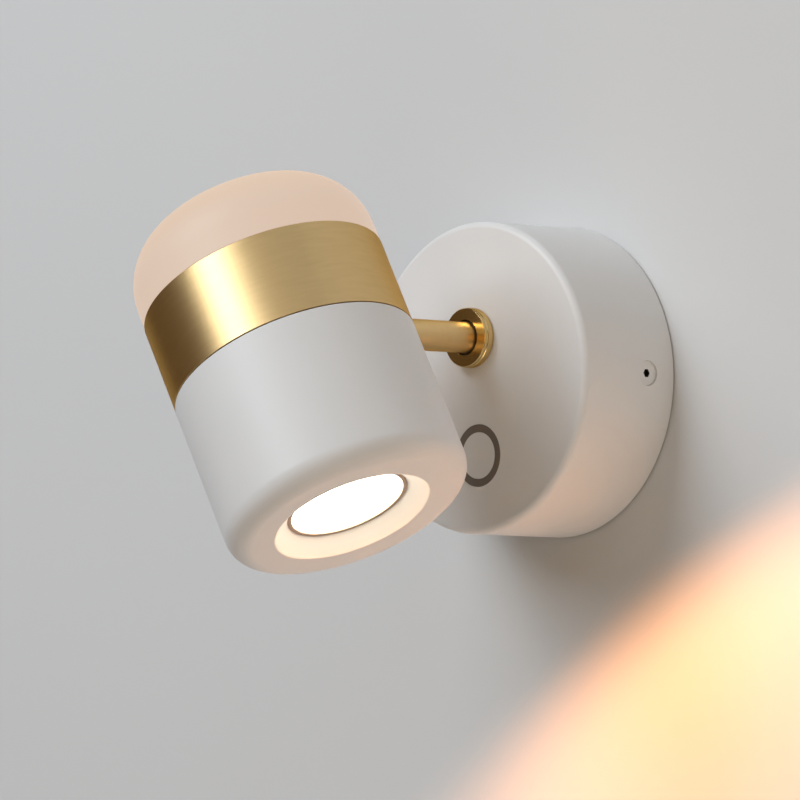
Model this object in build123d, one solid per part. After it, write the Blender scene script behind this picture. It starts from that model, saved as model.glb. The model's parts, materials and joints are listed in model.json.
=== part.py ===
"""Wall light with a pivoting head: a round base on the wall, a short arm, and a head that
shines down through a lens and glows up through an opal glass.

Millimetres, +Z up.  The wall is the plane Y = 0, the light stands out from it along -Y, and
the origin is the centre of the base on the wall.
"""
import os
from math import asin, degrees, radians, sqrt, tan

from build123d import *

# ---------------------------------------------------------------- driving dimensions
# Clearances
SLIP_FIT = 0.1            # between a hole and what is pushed through it
RUNNING_FIT = 0.05        # between the arm and the bush that it turns in
SEAM_GAP = 0.3            # shadow line between the band and the spot housing

# Screws: every head is worked out from its thread
M2_5 = 2.5
M3 = 3.0
M4 = 4.0
HEAD_PER_THREAD = 1.85
HEAD_RISE_PER_THREAD = 0.62
KEY_PER_THREAD = 0.62     # across the flats of the hexagon socket
NUT_PER_THREAD = 1.75
THREAD_GRIP = 7.0         # length of screw in a threaded post
TAP_RUN_OUT = 1.0         # of the hole past the screw

# Base
BASE_DIAMETER = 100.0
BASE_DEPTH = 40.0         # from the wall to the front face
WALL_GAP = 0.5            # shadow line between the wall and the housing
HOUSING_WALL = 3.0
HOUSING_FRONT = 4.0
FRONT_EDGE_RADIUS = 2.25
PLATE_THICKNESS = 2.0
PLATE_CLEARANCE = 0.5
SLOT_SPACING = 60.0       # wall screws
SLOT_WIDTH = 5.0
SLOT_LENGTH = 12.0
TAB_WIDTH = 12.0
TAB_THICKNESS = 2.0
SIDE_SCREW_DEPTH = 12.0   # from the wall
SIDE_SCREW_DROP = 2.4     # below the centre of the base
SIDE_SCREW_LENGTH = 10.0
SIDE_HEAD_DIAMETER = 8.0
SIDE_RECESS = 0.7
TAB_NUT_THICKNESS = 3.2
CABLE_BORE = 10.0
CABLE_BUSH_WALL = 2.0
CABLE_BUSH_LIP = 2.5
CABLE_BUSH_LIP_THICKNESS = 1.5

# Touch switch in the front of the base
TOUCH_DROP = 25.0         # below the centre of the base
TOUCH_RING_DIAMETER = 20.0
TOUCH_DISC_DIAMETER = 15.0
TOUCH_LIP = 2.0
TOUCH_LIP_THICKNESS = 1.2
TOUCH_BOARD_WIDTH = 39.0
TOUCH_BOARD_HEIGHT = 22.0
TOUCH_SCREW_SPACING = 32.0
TOUCH_BOSS_RADIUS = 3.0
TOUCH_SCREW_GRIP = 1.6    # of the screw in the front wall
TOUCH_CHIP_SIZE = 10.0
TOUCH_CHIP_THICKNESS = 1.5
TOUCH_PLUG_WIDTH = 8.0
TOUCH_PLUG_HEIGHT = 5.0
TOUCH_PLUG_DEPTH = 4.0
TOUCH_PLUG_SIDE = 8.0     # from the middle of the board
BOARD_THICKNESS = 1.6     # of every circuit board

# Driver and terminals in the base
DRIVER_WIDTH = 54.0
DRIVER_HEIGHT = 24.0
DRIVER_DEPTH = 16.0
DRIVER_DROP = 24.0        # of its middle below the centre of the base
DRIVER_WALL = 1.5
DRIVER_LID_THICKNESS = 2.0
DRIVER_EAR = 6.5
DRIVER_EAR_THICKNESS = 2.0
DRIVER_EAR_HEIGHT = 8.0
DRIVER_BOARD_LIFT = 3.0
TRANSFORMER_SIZE = 12.0
TRANSFORMER_RISE = 8.5
CAPACITOR_RADIUS = 4.0
CAPACITOR_LENGTH = 12.0
COIL_RADIUS = 5.0
COIL_RISE = 6.0
TERMINAL_WIDTH = 34.0
TERMINAL_HEIGHT = 13.0
TERMINAL_DEPTH = 16.0
TERMINAL_RISE = 31.5      # of its middle above the centre of the base
TERMINAL_HOLE_RADIUS = 1.6
TERMINAL_HOLE_PITCH = 5.0
TERMINAL_HOLE_DEPTH = 5.0
TERMINAL_SCREW_SEAT = 8.0
EARTH_SIDE = 21.0
EARTH_RISE = 14.0
EARTH_TAG_RADIUS = 4.0
EARTH_TAG_THICKNESS = 0.8
EARTH_BARREL_LENGTH = 3.0
EARTH_BARREL_RADIUS = 1.4

# Swivel and arm
ARM_RISE = 12.7           # of the arm above the centre of the base
ARM_DIAMETER = 10.0
ARM_BORE = 7.0
COLLAR_DIAMETER = 18.9
COLLAR_HEIGHT = 4.0       # of both tiers together, from the front face
COLLAR_CHAMFER = 0.25
COLLAR_RECESS_DIAMETER = 11.4
COLLAR_RECESS_DEPTH = 1.5
COLLAR_FLANGE_DIAMETER = 19.2
COLLAR_FLANGE_HEIGHT = 3.0
COLLAR_FLANGE_RADIUS = 0.7
COLLAR_HEEL_RADIUS = 0.9  # of the flange's edge against the housing
SHANK_DIAMETER = 15.0
SHANK_REACH = 5.0         # behind the front wall
COLLAR_NUT_THICKNESS = 3.0
COLLAR_NUT_FLATS = 20.0
BUSH_WALL = 0.9
BUSH_LIP_THICKNESS = 1.0
THRUST_WASHER_THICKNESS = 0.8
DISC_SPRING_THICKNESS = 0.5
DISC_SPRING_HEIGHT = 1.2
STOP_WASHER_THICKNESS = 1.2
STOP_WASHER_DIAMETER = 17.0
STOP_LUG_WIDTH = 2.0
STOP_LUG_REACH = 14.8     # from the middle of the arm
STOP_PIN_DIAMETER = 2.0
STOP_PIN_RISE = 13.0      # above the middle of the arm
STOP_PIN_GRIP = 2.0
STOP_PIN_OVERLAP = 1.3    # past the lug
ARM_NUT_FLATS = 14.0
ARM_NUT_THICKNESS = 3.5
ARM_TAIL = 1.3            # of the arm behind its nut
ARM_GRIP = 14.0           # of the arm in the head

# Head, measured along its own axis from the arm's axis
HEAD_DISTANCE = 124.6     # from the wall to the head's axis
HEAD_TURN = 26.0          # degrees that the head is turned about the arm
HEAD_DIAMETER = 79.2
BAND_ABOVE = 13.8
BAND_BELOW = 15.6
BAND_WALL = 2.0
BAND_CHAMFER = 0.3
GLASS_INSET = 0.2         # of the glass's side behind the band's
GLASS_RISE = 28.0         # above the band
GLASS_SHOULDER_RISE = 1.0 # of the straight bore above the band
GLASS_EDGE_RADIUS = 20.5
GLASS_WALL = 3.0
GLASS_NECK_DEPTH = 3.8    # in the band
GLASS_LIP = 3.0
GASKET_THICKNESS = 1.0
CORE_RIM = 2.5
CORE_WEB_THICKNESS = 4.0
CORE_WEB_DROP = 5.0       # of the web's top below the arm's axis
CORE_HUB_RADIUS = 12.0
CORE_CAVITY_RADIUS = 9.0
CORE_POST_RADIUS = 4.0
POST_CIRCLE_RADIUS = 24.0
POST_COUNT = 4
GRUB_INSET = 7.5          # from the rim's outside
LEAD_JOINT_SIZE = 10.0
LEAD_JOINT_HEIGHT = 8.0
GLOW_PLATE_THICKNESS = 1.5
GLOW_PLATE_OVERLAP = 2.0  # on the glass's lip
GLOW_BOARD_MARGIN = 4.0   # outside the posts' middles
GLOW_LED_COUNT = 12
GLOW_LED_CIRCLE_RADIUS = 18.0
GLOW_LED_LENGTH = 3.5
GLOW_LED_WIDTH = 2.8
LED_THICKNESS = 0.8

# Spot side of the head
SPOT_LENGTH = 54.0        # from the band to the mouth's plane
SPOT_WALL = 2.5
SPOT_END_THICKNESS = 4.0
SPOT_EDGE_RADIUS = 7.0
SPOT_TOP_BEVEL = 0.4
SPOT_SHOULDER = 3.0
SPIGOT_WALL = 2.5
MOUTH_DIAMETER = 50.8
MOUTH_DEPTH = 4.8
MOUTH_LIP_RADIUS = 1.2
LENS_WINDOW_DIAMETER = 39.4
LENS_LIP_THICKNESS = 1.2
LENS_POCKET_RADIUS = 21.9
LENS_POCKET_WALL = 2.6
LENS_POCKET_LENGTH = 7.0
LENS_DIAMETER = 36.4
LENS_SINK = 0.9           # of the lens's face behind the trim's
TRIM_LIP_THICKNESS = 1.2
LENS_LIP = 1.2
REFLECTOR_FLANGE = 0.8
REFLECTOR_WALL = 1.2
REFLECTOR_THROAT_RADIUS = 8.0
REFLECTOR_EXIT_RADIUS = 18.0
RETAINER_THICKNESS = 3.0
RETAINER_WIDTH = 2.0
SINK_CLEARANCE = 1.4      # inside the spigot
SINK_LENGTH = 32.0
SINK_FLANGE = 3.0
SINK_END = 4.0
SINK_CORE_RADIUS = 9.0
SINK_FIN_COUNT = 12
SINK_FIN_THICKNESS = 1.6
SPOT_BOARD_RADIUS = 17.5
SPOT_CHIP_RADIUS = 7.0
BOARD_SCREW_CIRCLE_RADIUS = 14.0
BOARD_SCREW_GRIP = 3.5

# Leads
ARM_LEAD_RADIUS = 2.0
LEAD_RADIUS = 1.0
TOUCH_LEAD_RADIUS = 0.8
LEAD_WAY_RADIUS = 3.0     # hole that a lead passes through
LEAD_GAP = 1.0            # of the split in the arm's lead behind the arm
BEND_SHARE = 0.45         # of a lead's shorter run that its bend takes
LEAD_LEVEL = 9.0          # of the leads above the wall
MAINS_LEAD_SIDE = 12.0
MAINS_LEAD_PITCH = 3.5
MAINS_LEAD_BOW = 4.0
OUTPUT_LEAD_SIDE = 14.0
EARTH_LEAD_SIDE = 9.0

# ---------------------------------------------------------------- levels and radii
base_radius = BASE_DIAMETER / 2
housing_bore = base_radius - HOUSING_WALL
front_inside = BASE_DEPTH - HOUSING_FRONT
plate_radius = housing_bore - PLATE_CLEARANCE

tab_face = sqrt(plate_radius ** 2 - (TAB_WIDTH / 2) ** 2)
tab_end = SIDE_SCREW_DEPTH + TAB_WIDTH / 2
side_screw_turn = degrees(asin(SIDE_SCREW_DROP / base_radius))
side_head_radius = SIDE_HEAD_DIAMETER / 2
side_head_face = base_radius - SIDE_RECESS
cable_hole_radius = CABLE_BORE / 2 + CABLE_BUSH_WALL

touch_ring_back = front_inside - TOUCH_LIP_THICKNESS
touch_disc_back = touch_ring_back - TOUCH_LIP_THICKNESS
touch_board_back = touch_disc_back - BOARD_THICKNESS
touch_plug_back = touch_board_back - TOUCH_PLUG_DEPTH

driver_top = DRIVER_HEIGHT / 2 - DRIVER_DROP
driver_front = PLATE_THICKNESS + DRIVER_DEPTH
driver_ear_side = (DRIVER_WIDTH + DRIVER_EAR) / 2
terminal_underside = TERMINAL_RISE - TERMINAL_HEIGHT / 2
terminal_seat = PLATE_THICKNESS + TERMINAL_SCREW_SEAT
screw_tip = SEAM_GAP      # the screws in the wall plate stop short of the wall

arm_radius = ARM_DIAMETER / 2
shank_radius = SHANK_DIAMETER / 2
flange_face = BASE_DEPTH + COLLAR_FLANGE_HEIGHT
collar_face = BASE_DEPTH + COLLAR_HEIGHT
shank_end = front_inside - SHANK_REACH
bush_end = shank_end - BUSH_LIP_THICKNESS
thrust_end = bush_end - THRUST_WASHER_THICKNESS
spring_end = thrust_end - DISC_SPRING_HEIGHT
stop_end = spring_end - STOP_WASHER_THICKNESS
arm_nut_end = stop_end - ARM_NUT_THICKNESS
arm_end = arm_nut_end - ARM_TAIL
lead_split = arm_end - LEAD_GAP

head_radius = HEAD_DIAMETER / 2
band_bore = head_radius - BAND_WALL
core_radius = band_bore - SLIP_FIT
core_height = CORE_WEB_DROP + CORE_WEB_THICKNESS
arm_tip = HEAD_DISTANCE - core_radius + ARM_GRIP
neck_radius = band_bore - 2 * SLIP_FIT
neck_bore = neck_radius - GLASS_WALL
neck_end = BAND_ABOVE - GLASS_NECK_DEPTH
core_top = neck_end - GASKET_THICKNESS
glass_lip_top = neck_end + GLASS_LIP
glass_top = BAND_ABOVE + GLASS_RISE
glass_radius = head_radius - GLASS_INSET
glow_board_seat = glass_lip_top + GLOW_PLATE_THICKNESS
glow_board_top = glow_board_seat + BOARD_THICKNESS

skirt_bore = core_radius - CORE_RIM
spigot_radius = skirt_bore - SLIP_FIT
spigot_bore = spigot_radius - SPIGOT_WALL
sink_radius = spigot_bore - SINK_CLEARANCE
spot_top = BAND_BELOW + SEAM_GAP
spot_end = BAND_BELOW + SPOT_LENGTH
lens_window_radius = LENS_WINDOW_DIAMETER / 2
window_level = spot_end - MOUTH_DEPTH
lens_seat = window_level - LENS_LIP_THICKNESS
trim_back = lens_seat - TRIM_LIP_THICKNESS
lens_back = trim_back - LENS_LIP
reflector_back = lens_back - REFLECTOR_FLANGE
sink_end = core_height + SINK_LENGTH
spot_board_face = sink_end + BOARD_THICKNESS
clamped_radius = LENS_POCKET_RADIUS - 4 * SLIP_FIT

# The base is drawn flat on the wall: X to the right, Y up and Z out of the wall
ON_WALL = Rot(90, 0, 0)
SWIVEL = ON_WALL * Pos(0, ARM_RISE, 0)
TURNED_SWIVEL = SWIVEL * Rot(0, 0, HEAD_TURN)
# The head is drawn upright: Z up its axis from the arm, and the wall on its +Y side
HEAD = Pos(0, -HEAD_DISTANCE, ARM_RISE) * Rot(0, -HEAD_TURN, 0)
# The spot side is drawn with Z along the beam
SPOT = HEAD * Rot(180, 0, 0)
FLIPPED = Rot(180, 0, 0)
STANDING = (Align.CENTER, Align.CENTER, Align.MIN)


# ---------------------------------------------------------------- plain shapes about Z
def disc(radius, low, high):
    """Solid cylinder from one level to another."""
    return Pos(0, 0, low) * Cylinder(radius, high - low, align=STANDING)


def turned(*outline):
    """Turned piece with the given (radius, level) corners."""
    return revolve(Plane.XZ * make_face(Polyline(*outline, close=True)), Axis.Z)


def ring(outer, inner, low, high):
    """Plain ring from one level to another."""
    return turned((inner, low), (outer, low), (outer, high), (inner, high))


def dome(radius, low, high, rounding):
    """Solid cylinder with its upper edge rounded."""
    body = disc(radius, low, high)
    return fillet(body.edges().sort_by(Axis.Z)[-1], rounding)


def block(width, height, low, high):
    """Box about Z from one level to another."""
    return Pos(0, 0, low) * Box(width, height, high - low, align=STANDING)


def hexagon(flats, low, high):
    """Six-sided bar, with its size across the flats."""
    return Pos(0, 0, low) * extrude(RegularPolygon(flats / 2, 6, major_radius=False), high - low)


def round_the_posts(shape):
    """Copies of a shape, one at each post of the core."""
    first = 180 / POST_COUNT
    return [place * shape for place in PolarLocations(POST_CIRCLE_RADIUS, POST_COUNT, first)]


def both_sides(side, rise, shape):
    """A shape to the left and to the right of the middle, at one height."""
    return [Pos(-side, rise, 0) * shape, Pos(side, rise, 0) * shape]


def cap_screw(thread, length, seat=0.0):
    """Screw with a round head on its seat, its shank below and a hexagon socket in the head."""
    head_rise = thread * HEAD_RISE_PER_THREAD
    shank = disc(thread / 2, seat - length, seat)
    head = disc(thread * HEAD_PER_THREAD / 2, seat, seat + head_rise)
    socket = hexagon(thread * KEY_PER_THREAD, seat + head_rise / 2, seat + head_rise)
    return shank + head - socket


def bend_radii(route):
    """Radius for each corner of a lead's route, as large as its two runs allow."""
    radii = []
    for before, corner, after in zip(route, route[1:], route[2:]):
        arrive = Vector(corner) - Vector(before)
        leave = Vector(after) - Vector(corner)
        half_turn = radians(arrive.get_angle(leave)) / 2
        radii.append(BEND_SHARE * min(arrive.length, leave.length) / tan(half_turn))
    return radii


def lead(radius, *route):
    """Round lead along straight runs joined by arcs."""
    radii = bend_radii(route)
    print("bend radii of a lead:", [round(bend, 1) for bend in radii])
    path = FilletPolyline(*route, radius=radii)
    section = Plane(origin=path @ 0, z_dir=path % 0) * Circle(radius)
    return sweep(section, path=path)


# ---------------------------------------------------------------- base, on the wall
def down_to_side_screw(side):
    """Turn about the base's centre from its middle line down to a side screw."""
    return Rot(0, 0, -side * side_screw_turn)


def wall_plate():
    """Round steel plate with slots for the wall screws and a folded tab at each side."""
    plate = disc(plate_radius, 0, PLATE_THICKNESS)
    slot = extrude(SlotOverall(SLOT_LENGTH, SLOT_WIDTH), PLATE_THICKNESS)
    plate -= both_sides(SLOT_SPACING / 2, 0, slot)
    plate -= disc(cable_hole_radius + SLIP_FIT, 0, PLATE_THICKNESS)
    plate -= both_sides(driver_ear_side, -DRIVER_DROP, disc(M3 / 2, 0, PLATE_THICKNESS))
    plate -= Pos(0, TERMINAL_RISE) * disc(M3 / 2, 0, PLATE_THICKNESS)
    plate -= Pos(EARTH_SIDE, EARTH_RISE) * disc(M4 / 2, 0, PLATE_THICKNESS)
    tab = block(TAB_THICKNESS, TAB_WIDTH, 0, tab_end)
    screw_way = disc(M4 / 2 + SLIP_FIT, 0, base_radius)
    for side in (-1, 1):
        turn = down_to_side_screw(side)
        plate += turn * Pos(side * (tab_face - TAB_THICKNESS / 2), 0, 0) * tab
        plate -= turn * Pos(0, 0, SIDE_SCREW_DEPTH) * Rot(0, 90 * side, 0) * screw_way
    return plate


def side_screw_place(side):
    """Place of a side screw: Z points out of the housing, from the face of its head."""
    out = Rot(0, 90, 0) if side > 0 else Rot(0, -90, 0)
    return down_to_side_screw(side) * Pos(side * side_head_face, 0, SIDE_SCREW_DEPTH) * out


def side_screws():
    """Countersunk socket screws that hold the housing to the tabs."""
    cone = side_head_radius - M4 / 2
    screw = turned((0, -SIDE_SCREW_LENGTH), (M4 / 2, -SIDE_SCREW_LENGTH), (M4 / 2, -cone),
                   (side_head_radius, 0), (0, 0))
    screw -= hexagon(M4 * KEY_PER_THREAD, -cone, 0)
    return Part() + [side_screw_place(side) * screw for side in (-1, 1)]


def tab_nuts():
    """Nuts welded inside the tabs."""
    nut = hexagon(M4 * NUT_PER_THREAD, 0, TAB_NUT_THICKNESS) - disc(M4 / 2 + RUNNING_FIT, 0,
                                                                    TAB_NUT_THICKNESS)
    inside = tab_face - TAB_THICKNESS - TAB_NUT_THICKNESS
    return Part() + [down_to_side_screw(side) * Pos(0, 0, SIDE_SCREW_DEPTH) * Rot(0, 90 * side, 0)
                     * Pos(0, 0, inside) * nut for side in (-1, 1)]


def base_housing():
    """Round housing with holes for the collar, the touch ring and the side screws."""
    housing = dome(base_radius, WALL_GAP, BASE_DEPTH, FRONT_EDGE_RADIUS)
    housing -= disc(housing_bore, WALL_GAP, front_inside)
    boss = disc(TOUCH_BOSS_RADIUS, touch_disc_back, front_inside)
    housing += both_sides(TOUCH_SCREW_SPACING / 2, -TOUCH_DROP, boss)
    boss_hole = disc(M2_5 / 2, touch_disc_back, front_inside + TOUCH_SCREW_GRIP)
    housing -= both_sides(TOUCH_SCREW_SPACING / 2, -TOUCH_DROP, boss_hole)
    touch_hole = disc(TOUCH_RING_DIAMETER / 2 + RUNNING_FIT, front_inside, BASE_DEPTH)
    housing -= Pos(0, -TOUCH_DROP) * touch_hole
    housing -= Pos(0, ARM_RISE) * disc(shank_radius + SLIP_FIT, front_inside, BASE_DEPTH)
    pin_hole = disc(STOP_PIN_DIAMETER / 2, front_inside, front_inside + STOP_PIN_GRIP)
    housing -= Pos(0, ARM_RISE + STOP_PIN_RISE) * pin_hole
    cone = side_head_radius - M4 / 2
    head_way = side_head_radius + SLIP_FIT
    shank_way = M4 / 2 + SLIP_FIT
    sink = turned((0, -2 * HOUSING_WALL), (shank_way, -2 * HOUSING_WALL), (shank_way, -cone),
                  (head_way, 0), (head_way, HOUSING_WALL), (0, HOUSING_WALL))
    return housing - [side_screw_place(side) * sink for side in (-1, 1)]


def touch_ring():
    """Insulating ring, flush with the front face, with a lip behind it."""
    bore = TOUCH_DISC_DIAMETER / 2
    rim = TOUCH_RING_DIAMETER / 2
    return ring(rim, bore, front_inside, BASE_DEPTH) + ring(rim + TOUCH_LIP, bore,
                                                            touch_ring_back, front_inside)


def touch_disc():
    """Metal disc that the finger meets, with a lip behind the ring."""
    rim = TOUCH_DISC_DIAMETER / 2 - RUNNING_FIT
    return disc(rim, touch_ring_back, BASE_DEPTH) + disc(rim + TOUCH_LIP, touch_disc_back,
                                                         touch_ring_back)


def touch_board():
    """Sensor board with its chip and its plug, screwed to the bosses of the housing."""
    board = block(TOUCH_BOARD_WIDTH, TOUCH_BOARD_HEIGHT, touch_board_back, touch_disc_back)
    board -= both_sides(TOUCH_SCREW_SPACING / 2, 0,
                        disc(M2_5 / 2 + SLIP_FIT, touch_board_back, touch_disc_back))
    chip_back = touch_board_back - TOUCH_CHIP_THICKNESS
    board += Pos(-TOUCH_PLUG_SIDE, 0) * block(TOUCH_CHIP_SIZE, TOUCH_CHIP_SIZE,
                                              chip_back, touch_board_back)
    return board + Pos(TOUCH_PLUG_SIDE, 0) * block(TOUCH_PLUG_WIDTH, TOUCH_PLUG_HEIGHT,
                                                   touch_plug_back, touch_board_back)


def touch_screws():
    """Screws of the sensor board, with their heads towards the wall."""
    grip = BOARD_THICKNESS + front_inside - touch_disc_back + TOUCH_SCREW_GRIP
    screw = Pos(0, 0, touch_board_back) * FLIPPED * cap_screw(M2_5, grip)
    return Part() + both_sides(TOUCH_SCREW_SPACING / 2, 0, screw)


def cable_bush():
    """Soft bush in the plate, through which the supply cable comes out of the wall."""
    lip_face = PLATE_THICKNESS + CABLE_BUSH_LIP_THICKNESS
    neck = ring(cable_hole_radius, CABLE_BORE / 2, 0, lip_face)
    return neck + ring(cable_hole_radius + CABLE_BUSH_LIP, CABLE_BORE / 2,
                       PLATE_THICKNESS, lip_face)


def terminal_block():
    """Three-way terminal block for the supply, screwed to the plate."""
    top = PLATE_THICKNESS + TERMINAL_DEPTH
    body = block(TERMINAL_WIDTH, TERMINAL_HEIGHT, PLATE_THICKNESS, top)
    body -= disc(M3 / 2 + SLIP_FIT, PLATE_THICKNESS, terminal_seat)
    body -= disc(M3 * HEAD_PER_THREAD / 2 + SLIP_FIT, terminal_seat, top)
    entry = Rot(90, 0, 0) * disc(TERMINAL_HOLE_RADIUS, 0, TERMINAL_HOLE_DEPTH)
    level = Pos(0, TERMINAL_HOLE_DEPTH - TERMINAL_HEIGHT / 2, PLATE_THICKNESS + TERMINAL_DEPTH / 4)
    return body - [level * Pos(way * TERMINAL_HOLE_PITCH) * entry for way in (-1, 0, 1)]


def earth_tag():
    """Ring tag under the earth screw, with the barrel that its lead is crimped in."""
    tag = disc(EARTH_TAG_RADIUS, PLATE_THICKNESS, PLATE_THICKNESS + EARTH_TAG_THICKNESS)
    beside_the_head = M4 * HEAD_PER_THREAD / 2 + SLIP_FIT
    barrel = Rot(0, -90, 0) * disc(EARTH_BARREL_RADIUS, beside_the_head,
                                   EARTH_TAG_RADIUS + EARTH_BARREL_LENGTH)
    tag += Pos(0, 0, PLATE_THICKNESS + EARTH_BARREL_RADIUS) * barrel
    return tag - disc(M4 / 2 + SLIP_FIT, 0, BASE_DEPTH)


def driver_case():
    """Open case of the driver, with an ear at each end."""
    case = block(DRIVER_WIDTH, DRIVER_HEIGHT, PLATE_THICKNESS, driver_front)
    case -= block(DRIVER_WIDTH - 2 * DRIVER_WALL, DRIVER_HEIGHT - 2 * DRIVER_WALL,
                  PLATE_THICKNESS + DRIVER_WALL, driver_front)
    ear = block(DRIVER_EAR, DRIVER_EAR_HEIGHT, PLATE_THICKNESS,
                PLATE_THICKNESS + DRIVER_EAR_THICKNESS)
    ear -= disc(M3 / 2 + SLIP_FIT, PLATE_THICKNESS, PLATE_THICKNESS + DRIVER_EAR_THICKNESS)
    return case + both_sides(driver_ear_side, 0, ear)


def driver_lid():
    """Lid of the driver, with a rim inside the case."""
    lid = block(DRIVER_WIDTH, DRIVER_HEIGHT, driver_front, driver_front + DRIVER_LID_THICKNESS)
    width = DRIVER_WIDTH - 2 * (DRIVER_WALL + SLIP_FIT)
    height = DRIVER_HEIGHT - 2 * (DRIVER_WALL + SLIP_FIT)
    rim = block(width, height, driver_front - DRIVER_WALL, driver_front)
    rim -= block(width - 2 * DRIVER_WALL, height - 2 * DRIVER_WALL,
                 driver_front - DRIVER_WALL, driver_front)
    return lid + rim


def driver_board():
    """Driver's circuit board on its feet, with its transformer, capacitor and coil."""
    seat = PLATE_THICKNESS + DRIVER_WALL
    low = seat + DRIVER_BOARD_LIFT
    top = low + BOARD_THICKNESS
    width = DRIVER_WIDTH - 2 * (DRIVER_WALL + SLIP_FIT)
    height = DRIVER_HEIGHT - 2 * (DRIVER_WALL + SLIP_FIT)
    board = block(width, height, low, top)
    foot = disc(DRIVER_WALL, seat, low)
    board += [place * foot for place in GridLocations(width - 4 * DRIVER_WALL,
                                                      height - 4 * DRIVER_WALL, 2, 2)]
    board += block(TRANSFORMER_SIZE, TRANSFORMER_SIZE, top, top + TRANSFORMER_RISE)
    capacitor = Rot(0, 90, 0) * disc(CAPACITOR_RADIUS, -CAPACITOR_LENGTH / 2, CAPACITOR_LENGTH / 2)
    board += Pos(-width / 3, 0, top + CAPACITOR_RADIUS - SLIP_FIT) * capacitor
    return board + Pos(width / 3, 0) * disc(COIL_RADIUS, top, top + COIL_RISE)


def mains_leads():
    """Line and neutral leads, bowed sideways between the terminals and the driver."""
    bow_level = (terminal_underside + driver_top) / 2
    straight = (terminal_underside - driver_top) / 5
    leads = Part()
    for way in (0, 1):
        side = -MAINS_LEAD_SIDE - way * MAINS_LEAD_PITCH
        leads += lead(LEAD_RADIUS, (side, terminal_underside, LEAD_LEVEL),
                      (side, terminal_underside - straight, LEAD_LEVEL),
                      (side - MAINS_LEAD_BOW, bow_level, LEAD_LEVEL),
                      (side, driver_top + straight, LEAD_LEVEL),
                      (side, driver_top, LEAD_LEVEL))
    return leads


def earth_lead():
    """Earth lead from the terminals to the tag on the plate."""
    barrel_end = EARTH_SIDE - EARTH_TAG_RADIUS - EARTH_BARREL_LENGTH
    barrel_level = PLATE_THICKNESS + EARTH_BARREL_RADIUS
    return lead(LEAD_RADIUS, (EARTH_LEAD_SIDE, terminal_underside, LEAD_LEVEL),
                (EARTH_LEAD_SIDE, EARTH_RISE + EARTH_TAG_RADIUS, LEAD_LEVEL),
                (EARTH_LEAD_SIDE, EARTH_RISE, barrel_level),
                (barrel_end, EARTH_RISE, barrel_level))


def output_lead():
    """Lead from the driver to the swivel, where it goes on inside the arm."""
    return lead(ARM_LEAD_RADIUS, (0, ARM_RISE, lead_split), (0, ARM_RISE, LEAD_LEVEL + 1),
                (OUTPUT_LEAD_SIDE, ARM_RISE / 4, LEAD_LEVEL),
                (OUTPUT_LEAD_SIDE, driver_top, LEAD_LEVEL))


def touch_lead():
    """Lead from the driver's lid to the plug of the sensor board."""
    start = driver_front + DRIVER_LID_THICKNESS
    middle = (start + touch_plug_back) / 2
    low = -DRIVER_DROP - DRIVER_HEIGHT / 4
    return lead(TOUCH_LEAD_RADIUS, (-TOUCH_PLUG_SIDE, low, start), (-TOUCH_PLUG_SIDE, low, middle),
                (TOUCH_PLUG_SIDE, -TOUCH_DROP, middle),
                (TOUCH_PLUG_SIDE, -TOUCH_DROP, touch_plug_back))


# ---------------------------------------------------------------- swivel, about the arm
def swivel_collar():
    """Brass nose in front of the housing, with a threaded shank through it."""
    nose_radius = COLLAR_DIAMETER / 2
    bore = arm_radius + RUNNING_FIT + BUSH_WALL + SLIP_FIT / 2
    recess = COLLAR_RECESS_DIAMETER / 2
    recess_floor = collar_face - COLLAR_RECESS_DEPTH
    return turned((bore, shank_end), (shank_radius, shank_end), (shank_radius, flange_face),
                  (nose_radius, flange_face), (nose_radius, collar_face - COLLAR_CHAMFER),
                  (nose_radius - COLLAR_CHAMFER, collar_face), (recess, collar_face),
                  (recess, recess_floor), (bore, recess_floor))


def collar_flange():
    """Brass flange between the nose and the housing, rounded in front and at its heel."""
    rim = dome(COLLAR_FLANGE_DIAMETER / 2, BASE_DEPTH, flange_face, COLLAR_FLANGE_RADIUS)
    rim = fillet(rim.edges().sort_by(Axis.Z)[0], COLLAR_HEEL_RADIUS)
    return rim - disc(shank_radius + SLIP_FIT, BASE_DEPTH, flange_face)


def collar_nut():
    """Thin nut that holds the collar from inside."""
    low = front_inside - COLLAR_NUT_THICKNESS
    nut = hexagon(COLLAR_NUT_FLATS, low, front_inside)
    return nut - disc(shank_radius + RUNNING_FIT, low, front_inside)


def swivel_bush():
    """Plastic bush in the collar, with a lip behind its shank."""
    bore = arm_radius + RUNNING_FIT
    return ring(bore + BUSH_WALL, bore, bush_end, collar_face - COLLAR_RECESS_DEPTH) + ring(
        shank_radius, bore, bush_end, shank_end)


def stop_pin():
    """Pin in the housing that stops the lug after nearly a full turn."""
    low = stop_end - STOP_PIN_OVERLAP
    return Pos(0, STOP_PIN_RISE) * disc(STOP_PIN_DIAMETER / 2, low, front_inside + STOP_PIN_GRIP)


def arm():
    """Brass tube, threaded at both ends."""
    return ring(arm_radius, ARM_BORE / 2, arm_end, arm_tip)


def thrust_washer():
    """Steel washer against the lip of the bush."""
    return ring(shank_radius, arm_radius + RUNNING_FIT, thrust_end, bush_end)


def disc_spring():
    """Coned spring washer whose pressure makes the friction."""
    bore = arm_radius + SLIP_FIT
    return turned((bore, spring_end), (bore, spring_end + DISC_SPRING_THICKNESS),
                  (shank_radius, thrust_end), (shank_radius, thrust_end - DISC_SPRING_THICKNESS))


def stop_washer():
    """Washer on the arm with the lug that meets the stop pin."""
    washer = disc(STOP_WASHER_DIAMETER / 2, stop_end, spring_end)
    washer += Pos(0, -STOP_LUG_REACH / 2) * block(STOP_LUG_WIDTH, STOP_LUG_REACH,
                                                  stop_end, spring_end)
    return washer - disc(arm_radius + RUNNING_FIT, stop_end, spring_end)


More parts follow.
